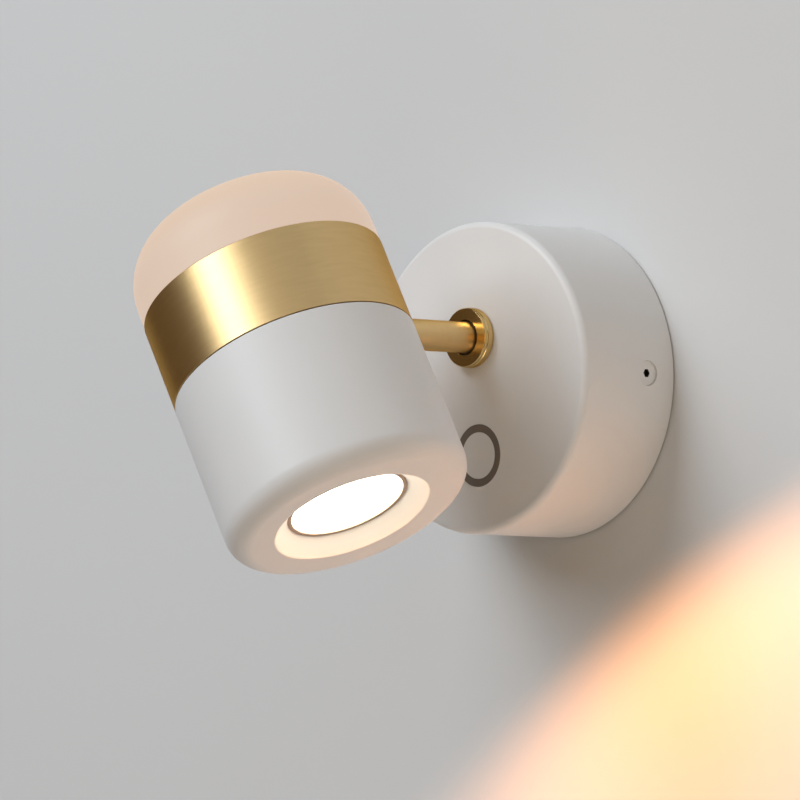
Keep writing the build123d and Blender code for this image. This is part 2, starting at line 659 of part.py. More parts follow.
def arm_nut():
    """Nut on the tail of the arm that sets the friction."""
    nut = hexagon(ARM_NUT_FLATS, arm_nut_end, stop_end)
    return nut - disc(arm_radius + RUNNING_FIT, arm_nut_end, stop_end)


# ---------------------------------------------------------------- head, upright
def brass_band():
    """Brass sleeve round the core, with a hole for the arm."""
    band = ring(head_radius, band_bore, -BAND_BELOW, BAND_ABOVE)
    rims = band.edges().filter_by(GeomType.CIRCLE).filter_by(lambda e: e.radius > head_radius - SLIP_FIT)
    band = chamfer(rims, BAND_CHAMFER)
    return band - Rot(-90, 0, 0) * disc(arm_radius + SLIP_FIT, 0, HEAD_DIAMETER)


def head_core():
    """Cast core that takes the arm, with a web, a hub and posts for the screws."""
    core = ring(core_radius, skirt_bore, -BAND_BELOW, core_top)
    core += disc(core_radius - CORE_RIM / 2, -core_height, -CORE_WEB_DROP)
    core += disc(CORE_HUB_RADIUS, -CORE_WEB_DROP, core_top)
    boss = Rot(-90, 0, 0) * disc(core_top, 0, core_radius - CORE_RIM / 2)
    core += boss
    core += round_the_posts(disc(CORE_POST_RADIUS, -CORE_WEB_DROP, glass_lip_top))
    core -= disc(CORE_CAVITY_RADIUS, -core_height, core_top)
    arm_seat = core_radius - ARM_GRIP
    core -= Rot(-90, 0, 0) * disc(arm_radius + RUNNING_FIT, arm_seat, head_radius)
    core -= Rot(-90, 0, 0) * disc(ARM_BORE / 2, 0, arm_seat)
    core -= Pos(0, core_radius - GRUB_INSET) * disc(M4 / 2 + RUNNING_FIT, 0, core_top)
    core -= round_the_posts(disc(M3 / 2, glass_lip_top - THREAD_GRIP - TAP_RUN_OUT, glass_lip_top))
    return core - round_the_posts(disc(M3 / 2, -core_height, THREAD_GRIP + TAP_RUN_OUT - core_height))


def arm_grub_screw():
    """Headless screw in the core that bites on the arm."""
    low = arm_radius + RUNNING_FIT
    screw = disc(M4 / 2, low, core_top) - hexagon(M4 / 2, (low + core_top) / 2, core_top)
    return Pos(0, core_radius - GRUB_INSET) * screw


def glass_gasket():
    """Soft ring under the neck of the glass."""
    return ring(neck_radius, neck_bore, core_top, neck_end)


def glass_diffuser():
    """Opal glass with a rounded top, a neck inside the band and a lip that is clamped."""
    bore = glass_radius - GLASS_WALL
    shell = dome(glass_radius, BAND_ABOVE, glass_top, GLASS_EDGE_RADIUS)
    shell -= dome(bore, BAND_ABOVE + GLASS_WALL, glass_top - GLASS_WALL,
                  GLASS_EDGE_RADIUS - GLASS_WALL)
    shell -= turned((0, BAND_ABOVE), (neck_bore, BAND_ABOVE), (neck_bore, BAND_ABOVE + GLASS_SHOULDER_RISE),
                    (bore, BAND_ABOVE + GLASS_WALL), (0, BAND_ABOVE + GLASS_WALL))
    shell += ring(neck_radius, neck_bore, neck_end, BAND_ABOVE)
    return shell + ring(neck_radius, neck_bore - GLASS_LIP, neck_end, glass_lip_top)


def glow_plate():
    """White plate that clamps the lip of the glass and carries the upper board."""
    rim = neck_bore - GLASS_LIP + GLOW_PLATE_OVERLAP
    plate = ring(rim, LEAD_WAY_RADIUS, glass_lip_top, glow_board_seat)
    return plate - round_the_posts(disc(M3 / 2 + SLIP_FIT, glass_lip_top, glow_board_seat))


def glow_board():
    """Round board of the upper light."""
    board = disc(POST_CIRCLE_RADIUS + GLOW_BOARD_MARGIN, glow_board_seat, glow_board_top)
    return board - round_the_posts(disc(M3 / 2 + SLIP_FIT, glow_board_seat, glow_board_top))


def glow_leds():
    """Small LEDs in a circle on the upper board."""
    chip = block(GLOW_LED_LENGTH, GLOW_LED_WIDTH, glow_board_top, glow_board_top + LED_THICKNESS)
    return Part() + [place * chip for place in PolarLocations(GLOW_LED_CIRCLE_RADIUS, GLOW_LED_COUNT)]


def glow_screws():
    """Screws through the upper board and the plate into the posts."""
    length = BOARD_THICKNESS + GLOW_PLATE_THICKNESS + THREAD_GRIP
    return Part() + round_the_posts(cap_screw(M3, length, glow_board_top))


def lead_joint():
    """Plug in the core where the arm's lead divides."""
    return block(LEAD_JOINT_SIZE, LEAD_JOINT_SIZE, -LEAD_JOINT_HEIGHT / 2, LEAD_JOINT_HEIGHT / 2)


# ---------------------------------------------------------------- spot side, along the beam
def spot_housing():
    """White cup with a spigot in the core, a rounded end and a coned mouth."""
    cup = dome(head_radius, spot_top, spot_end, SPOT_EDGE_RADIUS)
    cup = chamfer(cup.edges().sort_by(Axis.Z)[0], SPOT_TOP_BEVEL)
    cup -= dome(head_radius - SPOT_WALL, spot_top + SPOT_SHOULDER, spot_end - SPOT_END_THICKNESS,
                SPOT_EDGE_RADIUS - SPOT_WALL)
    cup -= disc(spigot_bore, spot_top, spot_top + SPOT_SHOULDER)
    cup += ring(spigot_radius, spigot_bore, core_height, spot_top + SPOT_SHOULDER)
    pocket_start = spot_end - SPOT_END_THICKNESS - LENS_POCKET_LENGTH - LENS_LIP_THICKNESS
    cup += disc(LENS_POCKET_RADIUS + LENS_POCKET_WALL, pocket_start, spot_end)
    cup -= disc(LENS_POCKET_RADIUS, pocket_start, lens_seat)
    mouth = MOUTH_DIAMETER / 2
    cup -= turned((0, lens_seat), (lens_window_radius, lens_seat),
                  (lens_window_radius, window_level), (mouth, spot_end), (0, spot_end))
    rim = cup.edges().filter_by(GeomType.CIRCLE).filter_by(
        lambda e: abs(e.radius - mouth) < SLIP_FIT and abs(e.center().Z - spot_end) < SLIP_FIT)
    return fillet(rim, MOUTH_LIP_RADIUS)


def lens_trim():
    """Dark ring round the lens, clamped by its lip."""
    front = lens_window_radius - SLIP_FIT
    bore = LENS_DIAMETER / 2 + SLIP_FIT
    return ring(front, bore, lens_seat, window_level) + ring(clamped_radius, bore,
                                                             trim_back, lens_seat)


def lens():
    """Frosted lens with a lip that is clamped between the trim and the reflector."""
    face = window_level - LENS_SINK
    return disc(LENS_DIAMETER / 2, trim_back, face) + disc(clamped_radius, lens_back, trim_back)


def reflector():
    """Coned reflector between the LED board and the lens."""
    return turned((REFLECTOR_THROAT_RADIUS, spot_board_face),
                  (REFLECTOR_THROAT_RADIUS + REFLECTOR_WALL, spot_board_face),
                  (REFLECTOR_EXIT_RADIUS + REFLECTOR_WALL, reflector_back),
                  (clamped_radius, reflector_back), (clamped_radius, lens_back),
                  (REFLECTOR_EXIT_RADIUS, lens_back))


def lens_retainer():
    """Threaded ring that presses the reflector and the lens into their pocket."""
    return ring(LENS_POCKET_RADIUS - SLIP_FIT, LENS_POCKET_RADIUS - RETAINER_WIDTH,
                reflector_back - RETAINER_THICKNESS, reflector_back)


def heat_sink():
    """Finned aluminium piece between the core and the LED board."""
    sink = disc(sink_radius, core_height, core_height + SINK_FLANGE)
    sink += disc(sink_radius, sink_end - SINK_END, sink_end)
    sink += disc(SINK_CORE_RADIUS, core_height, sink_end)
    fin_length = sink_radius - SINK_FIN_THICKNESS / 2
    fin = Pos(fin_length / 2) * block(fin_length, SINK_FIN_THICKNESS,
                                      core_height + SINK_FLANGE, sink_end - SINK_END)
    sink += [Rot(0, 0, number * 360 / SINK_FIN_COUNT) * fin for number in range(SINK_FIN_COUNT)]
    sink -= disc(LEAD_WAY_RADIUS, core_height, sink_end)
    sink -= round_the_posts(disc(M3 / 2 + SLIP_FIT, core_height, core_height + SINK_FLANGE))
    key_way = disc(M3 * HEAD_PER_THREAD / 2 + SLIP_FIT, sink_end - SINK_END, sink_end)
    sink -= round_the_posts(key_way)
    return sink - both_sides(BOARD_SCREW_CIRCLE_RADIUS, 0,
                             disc(M3 / 2, sink_end - BOARD_SCREW_GRIP, sink_end))


def sink_screws():
    """Screws through the upper flange of the heat sink into the posts."""
    seat = core_height + SINK_FLANGE
    return Part() + round_the_posts(cap_screw(M3, SINK_FLANGE + THREAD_GRIP, seat))


def spot_board():
    """Round board that carries the spot's LED."""
    board = disc(SPOT_BOARD_RADIUS, sink_end, spot_board_face)
    return board - both_sides(BOARD_SCREW_CIRCLE_RADIUS, 0,
                              disc(M3 / 2 + SLIP_FIT, sink_end, spot_board_face))


def spot_led():
    """The spot's LED."""
    return disc(SPOT_CHIP_RADIUS, spot_board_face, spot_board_face + LED_THICKNESS)


def board_screws():
    """Screws of the spot's board."""
    screw = cap_screw(M3, BOARD_THICKNESS + BOARD_SCREW_GRIP, spot_board_face)
    return Part() + both_sides(BOARD_SCREW_CIRCLE_RADIUS, 0, screw)


# ---------------------------------------------------------------- assembly
TOUCH = ON_WALL * Pos(0, -TOUCH_DROP, 0)
DRIVER = ON_WALL * Pos(0, -DRIVER_DROP, 0)
TERMINAL = ON_WALL * Pos(0, TERMINAL_RISE, 0)
EARTH = ON_WALL * Pos(EARTH_SIDE, EARTH_RISE, 0)
ear_face = PLATE_THICKNESS + DRIVER_EAR_THICKNESS
tag_face = PLATE_THICKNESS + EARTH_TAG_THICKNESS
ear_screw = cap_screw(M3, ear_face - screw_tip, ear_face)
joint_face = LEAD_JOINT_HEIGHT / 2

nodes = {
    "wall_plate": ON_WALL * wall_plate(),
    "tab_nuts": ON_WALL * tab_nuts(),
    "side_screws": ON_WALL * side_screws(),
    "base_housing": ON_WALL * base_housing(),
    "cable_bush": ON_WALL * cable_bush(),
    "terminal_block": TERMINAL * terminal_block(),
    "terminal_screw": TERMINAL * cap_screw(M3, terminal_seat - screw_tip, terminal_seat),
    "earth_tag": EARTH * earth_tag(),
    "earth_screw": EARTH * cap_screw(M4, tag_face - screw_tip, tag_face),
    "driver_case": DRIVER * driver_case(),
    "driver_lid": DRIVER * driver_lid(),
    "driver_board": DRIVER * driver_board(),
    "driver_screws": DRIVER * (Part() + both_sides(driver_ear_side, 0, ear_screw)),
    "touch_ring": TOUCH * touch_ring(),
    "touch_disc": TOUCH * touch_disc(),
    "touch_board": TOUCH * touch_board(),
    "touch_screws": TOUCH * touch_screws(),
    "mains_leads": ON_WALL * mains_leads(),
    "earth_lead": ON_WALL * earth_lead(),
    "output_lead": ON_WALL * output_lead(),
    "touch_lead": ON_WALL * touch_lead(),
    "swivel_collar": SWIVEL * swivel_collar(),
    "collar_flange": SWIVEL * collar_flange(),
    "collar_nut": SWIVEL * collar_nut(),
    "swivel_bush": SWIVEL * swivel_bush(),
    "stop_pin": SWIVEL * stop_pin(),
    "arm": TURNED_SWIVEL * arm(),
    "thrust_washer": TURNED_SWIVEL * thrust_washer(),
    "disc_spring": TURNED_SWIVEL * disc_spring(),
    "stop_washer": TURNED_SWIVEL * stop_washer(),
    "arm_nut": TURNED_SWIVEL * arm_nut(),
    "arm_lead": TURNED_SWIVEL * disc(ARM_LEAD_RADIUS, lead_split,
                                     HEAD_DISTANCE - LEAD_JOINT_SIZE / 2),
    "lead_joint": HEAD * lead_joint(),
    "glow_lead": HEAD * disc(LEAD_RADIUS, joint_face, glow_board_seat),
    "spot_lead": SPOT * disc(LEAD_RADIUS, joint_face, sink_end),
    "brass_band": HEAD * brass_band(),
    "head_core": HEAD * head_core(),
    "arm_grub_screw": HEAD * arm_grub_screw(),
    "glass_gasket": HEAD * glass_gasket(),
    "glass_diffuser": HEAD * glass_diffuser(),
    "glow_plate": HEAD * glow_plate(),
    "glow_board": HEAD * glow_board(),
    "glow_leds": HEAD * glow_leds(),
    "glow_screws": HEAD * glow_screws(),
    "spot_housing": SPOT * spot_housing(),
    "heat_sink": SPOT * heat_sink(),
    "sink_screws": SPOT * sink_screws(),
    "spot_board": SPOT * spot_board(),
    "spot_led": SPOT * spot_led(),
    "board_screws": SPOT * board_screws(),
    "reflector": SPOT * reflector(),
    "lens_trim": SPOT * lens_trim(),
    "lens": SPOT * lens(),
    "lens_retainer": SPOT * lens_retainer(),
}

os.makedirs("parts", exist_ok=True)
for name, shape in nodes.items():
    export_step(shape, f"parts/{name}.step")
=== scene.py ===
"""Looks of a wall light: a white drum on the wall, a short brass arm, and a head with a
brass band, an opal glass top and a white cup that shines down through a lens.

Metres, +Z up.  The wall is the plane Y = 0 and the light stands out from it along -Y.
"""
import json
from cmath import phase, rect
from math import asin, ceil, cos, pi, radians, sin, tan

import bmesh
import bpy
from mathutils import Matrix, Vector


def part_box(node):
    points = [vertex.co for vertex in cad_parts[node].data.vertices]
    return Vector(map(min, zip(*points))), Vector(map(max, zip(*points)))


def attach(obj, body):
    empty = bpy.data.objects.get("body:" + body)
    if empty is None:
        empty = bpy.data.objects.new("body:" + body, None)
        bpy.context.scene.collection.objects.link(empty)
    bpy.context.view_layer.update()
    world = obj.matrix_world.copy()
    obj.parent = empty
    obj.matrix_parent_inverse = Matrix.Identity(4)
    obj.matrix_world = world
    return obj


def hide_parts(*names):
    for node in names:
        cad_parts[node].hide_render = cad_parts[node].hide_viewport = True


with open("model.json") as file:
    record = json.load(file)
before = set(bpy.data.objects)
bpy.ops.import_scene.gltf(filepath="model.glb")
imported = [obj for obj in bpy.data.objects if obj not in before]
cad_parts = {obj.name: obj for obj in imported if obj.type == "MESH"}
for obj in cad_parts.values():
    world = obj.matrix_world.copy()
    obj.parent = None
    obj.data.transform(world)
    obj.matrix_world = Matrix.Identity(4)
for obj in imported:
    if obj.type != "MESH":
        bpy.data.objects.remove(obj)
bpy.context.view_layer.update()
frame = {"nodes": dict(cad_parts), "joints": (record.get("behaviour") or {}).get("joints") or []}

# ---------------------------------------------------------------- wall plate and its nuts
# A zinc plated steel disc with slots for the wall screws, a folded tab at each side and a nut
# welded inside each tab.  The zinc is slightly mottled and dull.
MM = 0.001
GRAIN_DETAIL = 2.0
MOTTLE_DETAIL = 3.0


def grain_group():
    """Node group for cast, moulded and painted surfaces: a fine grain over a broad mottle."""
    group = bpy.data.node_groups.new("surface_grain", "ShaderNodeTree")
    for name, kind in (("Grain per Metre", "NodeSocketFloat"),
                       ("Mottle per Metre", "NodeSocketFloat"),
                       ("Colour", "NodeSocketColor"), ("Mottle Colour", "NodeSocketColor"),
                       ("Roughness", "NodeSocketFloat"), ("Roughness Spread", "NodeSocketFloat")):
        group.interface.new_socket(name, in_out="INPUT", socket_type=kind)
    for name, kind in (("Colour", "NodeSocketColor"), ("Roughness", "NodeSocketFloat"),
                       ("Height", "NodeSocketFloat")):
        group.interface.new_socket(name, in_out="OUTPUT", socket_type=kind)
    nodes, link = group.nodes, group.links.new
    given, result = nodes.new("NodeGroupInput"), nodes.new("NodeGroupOutput")
    place = nodes.new("ShaderNodeTexCoord")
    grain, mottle = nodes.new("ShaderNodeTexNoise"), nodes.new("ShaderNodeTexNoise")
    grain.inputs["Detail"].default_value = GRAIN_DETAIL
    mottle.inputs["Detail"].default_value = MOTTLE_DETAIL
    for noise, size in ((grain, "Grain per Metre"), (mottle, "Mottle per Metre")):
        link(place.outputs["Object"], noise.inputs["Vector"])
        link(given.outputs[size], noise.inputs["Scale"])
    mix = nodes.new("ShaderNodeMix")
    mix.data_type = "RGBA"
    link(mottle.outputs["Fac"], mix.inputs["Factor"])
    link(given.outputs["Colour"], mix.inputs["A"])
    link(given.outputs["Mottle Colour"], mix.inputs["B"])
    spread = nodes.new("ShaderNodeMath")
    spread.operation = "MULTIPLY_ADD"
    link(mottle.outputs["Fac"], spread.inputs[0])
    link(given.outputs["Roughness Spread"], spread.inputs[1])
    link(given.outputs["Roughness"], spread.inputs[2])
    link(mix.outputs["Result"], result.inputs["Colour"])
    link(spread.outputs["Value"], result.inputs["Roughness"])
    link(grain.outputs["Fac"], result.inputs["Height"])
    return group


SURFACE_GRAIN = grain_group()


def textured(name, group, values, bump, metallic=0.0):
    """Material whose colour, roughness and relief come from a node group with these values."""
    material = bpy.data.materials.new(name)
    material.use_nodes = True
    nodes, link = material.node_tree.nodes, material.node_tree.links.new
    shader = nodes["Principled BSDF"]
    shader.inputs["Metallic"].default_value = metallic
    texture = nodes.new("ShaderNodeGroup")
    texture.name, texture.node_tree = "texture", group
    for socket, value in values.items():
        texture.inputs[socket].default_value = value
    relief = nodes.new("ShaderNodeBump")
    relief.name = "relief"
    relief.inputs["Distance"].default_value = bump
    link(texture.outputs["Colour"], shader.inputs["Base Color"])
    link(texture.outputs["Roughness"], shader.inputs["Roughness"])
    link(texture.outputs["Height"], relief.inputs["Height"])
    link(relief.outputs["Normal"], shader.inputs["Normal"])
    return material


def grained(name, colour, mottle_colour, roughness, spread=0.1, grain=4000.0, mottle=60.0,
            bump=0.01 * MM, metallic=0.0):
    """Cast, moulded or painted material."""
    values = {"Colour": (*colour, 1.0), "Mottle Colour": (*mottle_colour, 1.0),
              "Roughness": roughness, "Roughness Spread": spread,
              "Grain per Metre": grain, "Mottle per Metre": mottle}
    return textured(name, SURFACE_GRAIN, values, bump, metallic)


def dress(material, *nodes):
    """Gives CAD nodes a material."""
    for node in nodes:
        for material_slot in frame["nodes"][node].material_slots:
            material_slot.material = material


zinc = grained("zinc_plated_steel", (0.56, 0.57, 0.58), (0.68, 0.68, 0.67), 0.42, spread=0.18,
               mottle=180.0, metallic=0.7)
dress(zinc, "wall_plate", "tab_nuts")

# ---------------------------------------------------------------- cable bush
# A soft black rubber bush, pushed into the hole in the middle of the plate, through which the
# supply cable comes out of the wall.  Its lip covers the edge of the hole.
soft_black = grained("soft_black_rubber", (0.03, 0.03, 0.03), (0.05, 0.05, 0.05), 0.65)
dress(soft_black, "cable_bush")

# ---------------------------------------------------------------- terminals and earth
# A white moulded terminal block, which one steel screw holds to the plate, and beside it a brass
# tag for the earth lead under a brass screw.
white_moulding = grained("white_moulding", (0.82, 0.82, 0.80), (0.88, 0.88, 0.86), 0.42)
plain_brass = grained("plain_brass", (0.72, 0.56, 0.30), (0.80, 0.64, 0.36), 0.25, metallic=1.0)
dress(white_moulding, "terminal_block")
dress(zinc, "terminal_screw")
dress(plain_brass, "earth_tag", "earth_screw")

# ---------------------------------------------------------------- driver
# A black moulded case with a lid, and inside it the varnished circuit board that feeds the LEDs.
# Two steel screws through the case's ears hold it to the plate.
black_moulding = grained("black_moulding", (0.025, 0.025, 0.025), (0.045, 0.045, 0.045), 0.45)
green_board = grained("varnished_circuit_board", (0.02, 0.16, 0.06), (0.04, 0.24, 0.10), 0.22,
                      grain=9000.0, mottle=350.0)
dress(black_moulding, "driver_case", "driver_lid")
dress(green_board, "driver_board")
dress(zinc, "driver_screws")

# ---------------------------------------------------------------- leads in the base
# Leads with soft insulation: brown from the terminals to the driver, green from the terminals to
# the earth tag, and white from the driver to the arm and to the touch sensor.
brown_sleeve = grained("brown_insulation", (0.16, 0.07, 0.035), (0.20, 0.09, 0.045), 0.38)
green_sleeve = grained("earth_insulation", (0.16, 0.34, 0.05), (0.22, 0.40, 0.06), 0.38)
white_sleeve = grained("white_insulation", (0.78, 0.78, 0.76), (0.84, 0.84, 0.82), 0.38)
dress(brown_sleeve, "mains_leads")
dress(green_sleeve, "earth_lead")
dress(white_sleeve, "output_lead", "touch_lead")

# ---------------------------------------------------------------- base housing
# The white drum: deep drawn metal with a small radius round its front, powder coated with a
# fine satin texture.  It has holes for the collar, the touch ring and the side screws.
SEGMENTS = 256
MEDIUM_SEGMENTS = 128
SMALL_SEGMENTS = 96
ARC_STEP = radians(7.5)
ON_AXIS = 1e-6
SHARP_EDGE = radians(32)


def outline(*corners):
    """Points (radius, level) of a turned shape; a third number in a corner rounds it off."""
    spots = [complex(*corner[:2]) for corner in corners]
    points = []
    for i, corner in enumerate(corners):
        here = spots[i]
        if len(corner) == 2:
            points.append(here)
            continue
        back, ahead = spots[i - 1] - here, spots[(i + 1) % len(spots)] - here
        back, ahead = back / abs(back), ahead / abs(ahead)
        half = abs(phase(ahead / back)) / 2
        centre = here + (back + ahead) / abs(back + ahead) * corner[2] / sin(half)
        start = here + back * corner[2] / tan(half) - centre
        end = here + ahead * corner[2] / tan(half) - centre
        sweep = phase(end / start)
        steps = ceil(abs(sweep) / ARC_STEP)
        points += [centre + start * rect(1, sweep * k / steps) for k in range(steps + 1)]
    return [(point.real, point.imag) for point in points]


def turned(name, points, place, segments=SEGMENTS):
    """Closed mesh turned about its own Z axis, with U round it and V along its outline."""
    shape = bmesh.new()
    layer = shape.loops.layers.uv.new("UVMap")
    angles = [2 * pi * k / segments for k in range(segments)]
    rings, lengths, length = [], [], 0.0
    for i, (radius, level) in enumerate(points):
        on_axis = radius < ON_AXIS
        rings.append([shape.verts.new((radius * cos(a), radius * sin(a), level))
                      for a in (angles[:1] if on_axis else angles)])
        if i:
            length += abs(complex(radius, level) - complex(*points[i - 1]))
        lengths.append(length)
    lengths.append(length + abs(complex(*points[0]) - complex(*points[-1])))
    for i, lower in enumerate(rings):
        upper = rings[(i + 1) % len(rings)]
        if len(lower) == len(upper) == 1:
            continue
        for k in range(segments):
            corners = {}
            for ring, step, v in ((lower, k, lengths[i]), (lower, k + 1, lengths[i]),
                                  (upper, k + 1, lengths[i + 1]), (upper, k, lengths[i + 1])):
                corners.setdefault(ring[step % len(ring)], (step / segments, v))
            face = shape.faces.new(corners)
            for loop in face.loops:
                loop[layer].uv = corners[loop.vert]
    bmesh.ops.recalc_face_normals(shape, faces=shape.faces)
    mesh = bpy.data.meshes.new(name)
    shape.to_mesh(mesh)
    shape.free()
    mesh.transform(place)
    piece = bpy.data.objects.new(name, mesh)
    bpy.context.scene.collection.objects.link(piece)
    return piece


def cut(piece, *tools, way="DIFFERENCE"):
    """Takes the tools' shapes out of the piece, or joins them, and leaves it a plain mesh."""
    for tool in tools:
        step = piece.modifiers.new("cut", "BOOLEAN")
        step.solver, step.operation, step.object = "EXACT", way, tool
    finished = piece.evaluated_get(bpy.context.evaluated_depsgraph_get())
    piece.data = bpy.data.meshes.new_from_object(finished)
    piece.modifiers.clear()
    for tool in tools:
        bpy.data.objects.remove(tool)


def smooth(piece, material):
    """Smooth shading with crisp edges, and the piece's material."""
    piece.data.materials.clear()
    piece.data.materials.append(material)
    piece.data.shade_smooth()
    piece.data.set_sharp_from_angle(angle=SHARP_EDGE)
    normals = piece.modifiers.new("even_normals", "WEIGHTED_NORMAL")
    normals.keep_sharp = True


BASE_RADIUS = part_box("base_housing")[1].x
BASE_FRONT = -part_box("base_housing")[0].y
WALL_GAP = 0.5 * MM
HOUSING_WALL = 3.0 * MM
HOUSING_FRONT = 4.0 * MM
INSIDE_CORNER_RADIUS = 1.0 * MM
FRONT_EDGE_RADIUS = 2.25 * MM
EDGE_BREAK = 0.15 * MM
BOSS_RADIUS = 3.0 * MM
BOSS_HOLE_RADIUS = 1.25 * MM
BOSS_SPACING = 32.0 * MM
BOSS_LENGTH = 2.4 * MM
BOSS_SCREW_GRIP = 1.6 * MM
STOP_PIN_RADIUS = 1.0 * MM
STOP_PIN_RISE = 13.0 * MM
STOP_PIN_GRIP = 2.0 * MM
TOUCH_RADIUS = 10.0 * MM
TOUCH_GAP = 0.05 * MM
TOUCH_DROP = 25.0 * MM
ARM_RISE = Vector(frame["joints"][0]["pos_m"]).z
SHANK_RADIUS = 7.5 * MM
SHANK_GAP = 0.1 * MM
SIDE_SCREW_DEPTH = 12.0 * MM
SIDE_SCREW_DROP = 2.4 * MM
SIDE_HEAD_RADIUS = 4.0 * MM
SIDE_HEAD_FACE = 49.3 * MM
SIDE_CONE = 2.0 * MM
SIDE_SHANK_RADIUS = 2.0 * MM
SIDE_HEAD_GAP = 0.1 * MM

on_wall = Matrix.Rotation(radians(90), 4, "X")
swivel_place = on_wall @ Matrix.Translation((0, ARM_RISE, 0))
touch_place = on_wall @ Matrix.Translation((0, -TOUCH_DROP, 0))
inner_front = BASE_FRONT - HOUSING_FRONT

white_paint = grained("white_powder_coat", (0.76, 0.75, 0.735), (0.80, 0.79, 0.775), 0.42,
                      spread=0.08, grain=2600.0, mottle=45.0, bump=0.012 * MM)
housing = turned("base_housing_shell", outline(
    (0, inner_front), (BASE_RADIUS - HOUSING_WALL, inner_front, INSIDE_CORNER_RADIUS),
    (BASE_RADIUS - HOUSING_WALL, WALL_GAP), (BASE_RADIUS, WALL_GAP, EDGE_BREAK),
    (BASE_RADIUS, BASE_FRONT, FRONT_EDGE_RADIUS), (0, BASE_FRONT)), on_wall)


def plug(radius, low, high, place):
    """Plain cylinder between two levels, a tool for holes and bosses."""
    return turned("tool", outline((0, low), (radius, low), (radius, high), (0, high)), place,
                  SMALL_SEGMENTS)


boss_places = [touch_place @ Matrix.Translation((side * BOSS_SPACING / 2, 0, 0))
               for side in (-1, 1)]
cut(housing, *[plug(BOSS_RADIUS, inner_front - BOSS_LENGTH, inner_front + BOSS_SCREW_GRIP / 2,
                    place) for place in boss_places], way="UNION")
cut(housing,
    plug(SHANK_RADIUS + SHANK_GAP, inner_front - MM, BASE_FRONT + MM, swivel_place),
    plug(TOUCH_RADIUS + TOUCH_GAP, inner_front - MM, BASE_FRONT + MM, touch_place),
    plug(STOP_PIN_RADIUS, inner_front - MM, inner_front + STOP_PIN_GRIP,
         swivel_place @ Matrix.Translation((0, STOP_PIN_RISE, 0))),
    *[plug(BOSS_HOLE_RADIUS, inner_front - BOSS_LENGTH - MM, inner_front + BOSS_SCREW_GRIP, place)
      for place in boss_places])
side_turn = asin(SIDE_SCREW_DROP / BASE_RADIUS)
for side in (-1, 1):
    outward = Matrix.Rotation(side * (radians(90) + side_turn), 4, "Y")
    seat = Matrix.Translation((0, -SIDE_SCREW_DEPTH, 0)) @ outward @ Matrix.Translation(
        (0, 0, SIDE_HEAD_FACE))
    cut(housing, turned("tool", outline(
        (0, -3 * HOUSING_WALL), (SIDE_SHANK_RADIUS + SIDE_HEAD_GAP, -3 * HOUSING_WALL),
        (SIDE_SHANK_RADIUS + SIDE_HEAD_GAP, -SIDE_CONE), (SIDE_HEAD_RADIUS + SIDE_HEAD_GAP, 0),
        (SIDE_HEAD_RADIUS + SIDE_HEAD_GAP, HOUSING_WALL), (0, HOUSING_WALL)), seat,
        SMALL_SEGMENTS))
smooth(housing, white_paint)
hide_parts("base_housing")
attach(housing, "base")

# ---------------------------------------------------------------- touch switch
# A dark insulating ring let flush into the front, and inside it a metal disc that the finger
# meets, painted with the housing.  The sensor board is screwed on behind them.
TOUCH_DISC_RADIUS = 7.5 * MM
TOUCH_LIP = 2.0 * MM
TOUCH_LIP_THICKNESS = 1.2 * MM
FINE_BREAK = 0.08 * MM

dark_insulator = grained("dark_insulator", (0.16, 0.135, 0.115), (0.19, 0.16, 0.135), 0.5,
                         grain=3000.0)
ring_back = inner_front - TOUCH_LIP_THICKNESS
disc_back = ring_back - TOUCH_LIP_THICKNESS
disc_edge = TOUCH_DISC_RADIUS - TOUCH_GAP
touch_ring = turned("touch_ring_inlay", outline(
    (TOUCH_DISC_RADIUS, ring_back), (TOUCH_RADIUS + TOUCH_LIP, ring_back),
    (TOUCH_RADIUS + TOUCH_LIP, inner_front), (TOUCH_RADIUS, inner_front),
    (TOUCH_RADIUS, BASE_FRONT, FINE_BREAK), (TOUCH_DISC_RADIUS, BASE_FRONT, FINE_BREAK)),
    touch_place, MEDIUM_SEGMENTS)
touch_disc = turned("touch_disc_face", outline(
    (0, disc_back), (disc_edge + TOUCH_LIP, disc_back), (disc_edge + TOUCH_LIP, ring_back),
    (disc_edge, ring_back), (disc_edge, BASE_FRONT, FINE_BREAK), (0, BASE_FRONT)),
    touch_place, MEDIUM_SEGMENTS)
smooth(touch_ring, dark_insulator)
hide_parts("touch_ring")
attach(touch_ring, "base")
smooth(touch_disc, white_paint)
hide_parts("touch_disc")
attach(touch_disc, "base")
dress(green_board, "touch_board")
dress(zinc, "touch_screws")

# ---------------------------------------------------------------- side screws
# Two countersunk socket screws that hold the housing to the plate's tabs.  They are painted like
# the housing on their faces only and are near black below: partly blackened steel and partly
# painted shade, so that the hexagon sockets and the gaps round the heads show dark.
SIDE_SCREW_LENGTH = 10.0 * MM
END_BREAK = 0.3 * MM
HEXAGON = 6
SOCKET_FLATS = 2.5 * MM
SOCKET_DEPTH = 1.7 * MM
PAINT_EDGE = 0.1 * MM
# Near black below the painted face: blackened steel, and painted shade in the sockets and round
# the heads.
BLACK_STEEL_AND_SOCKET_SHADE = (0.012, 0.012, 0.010)

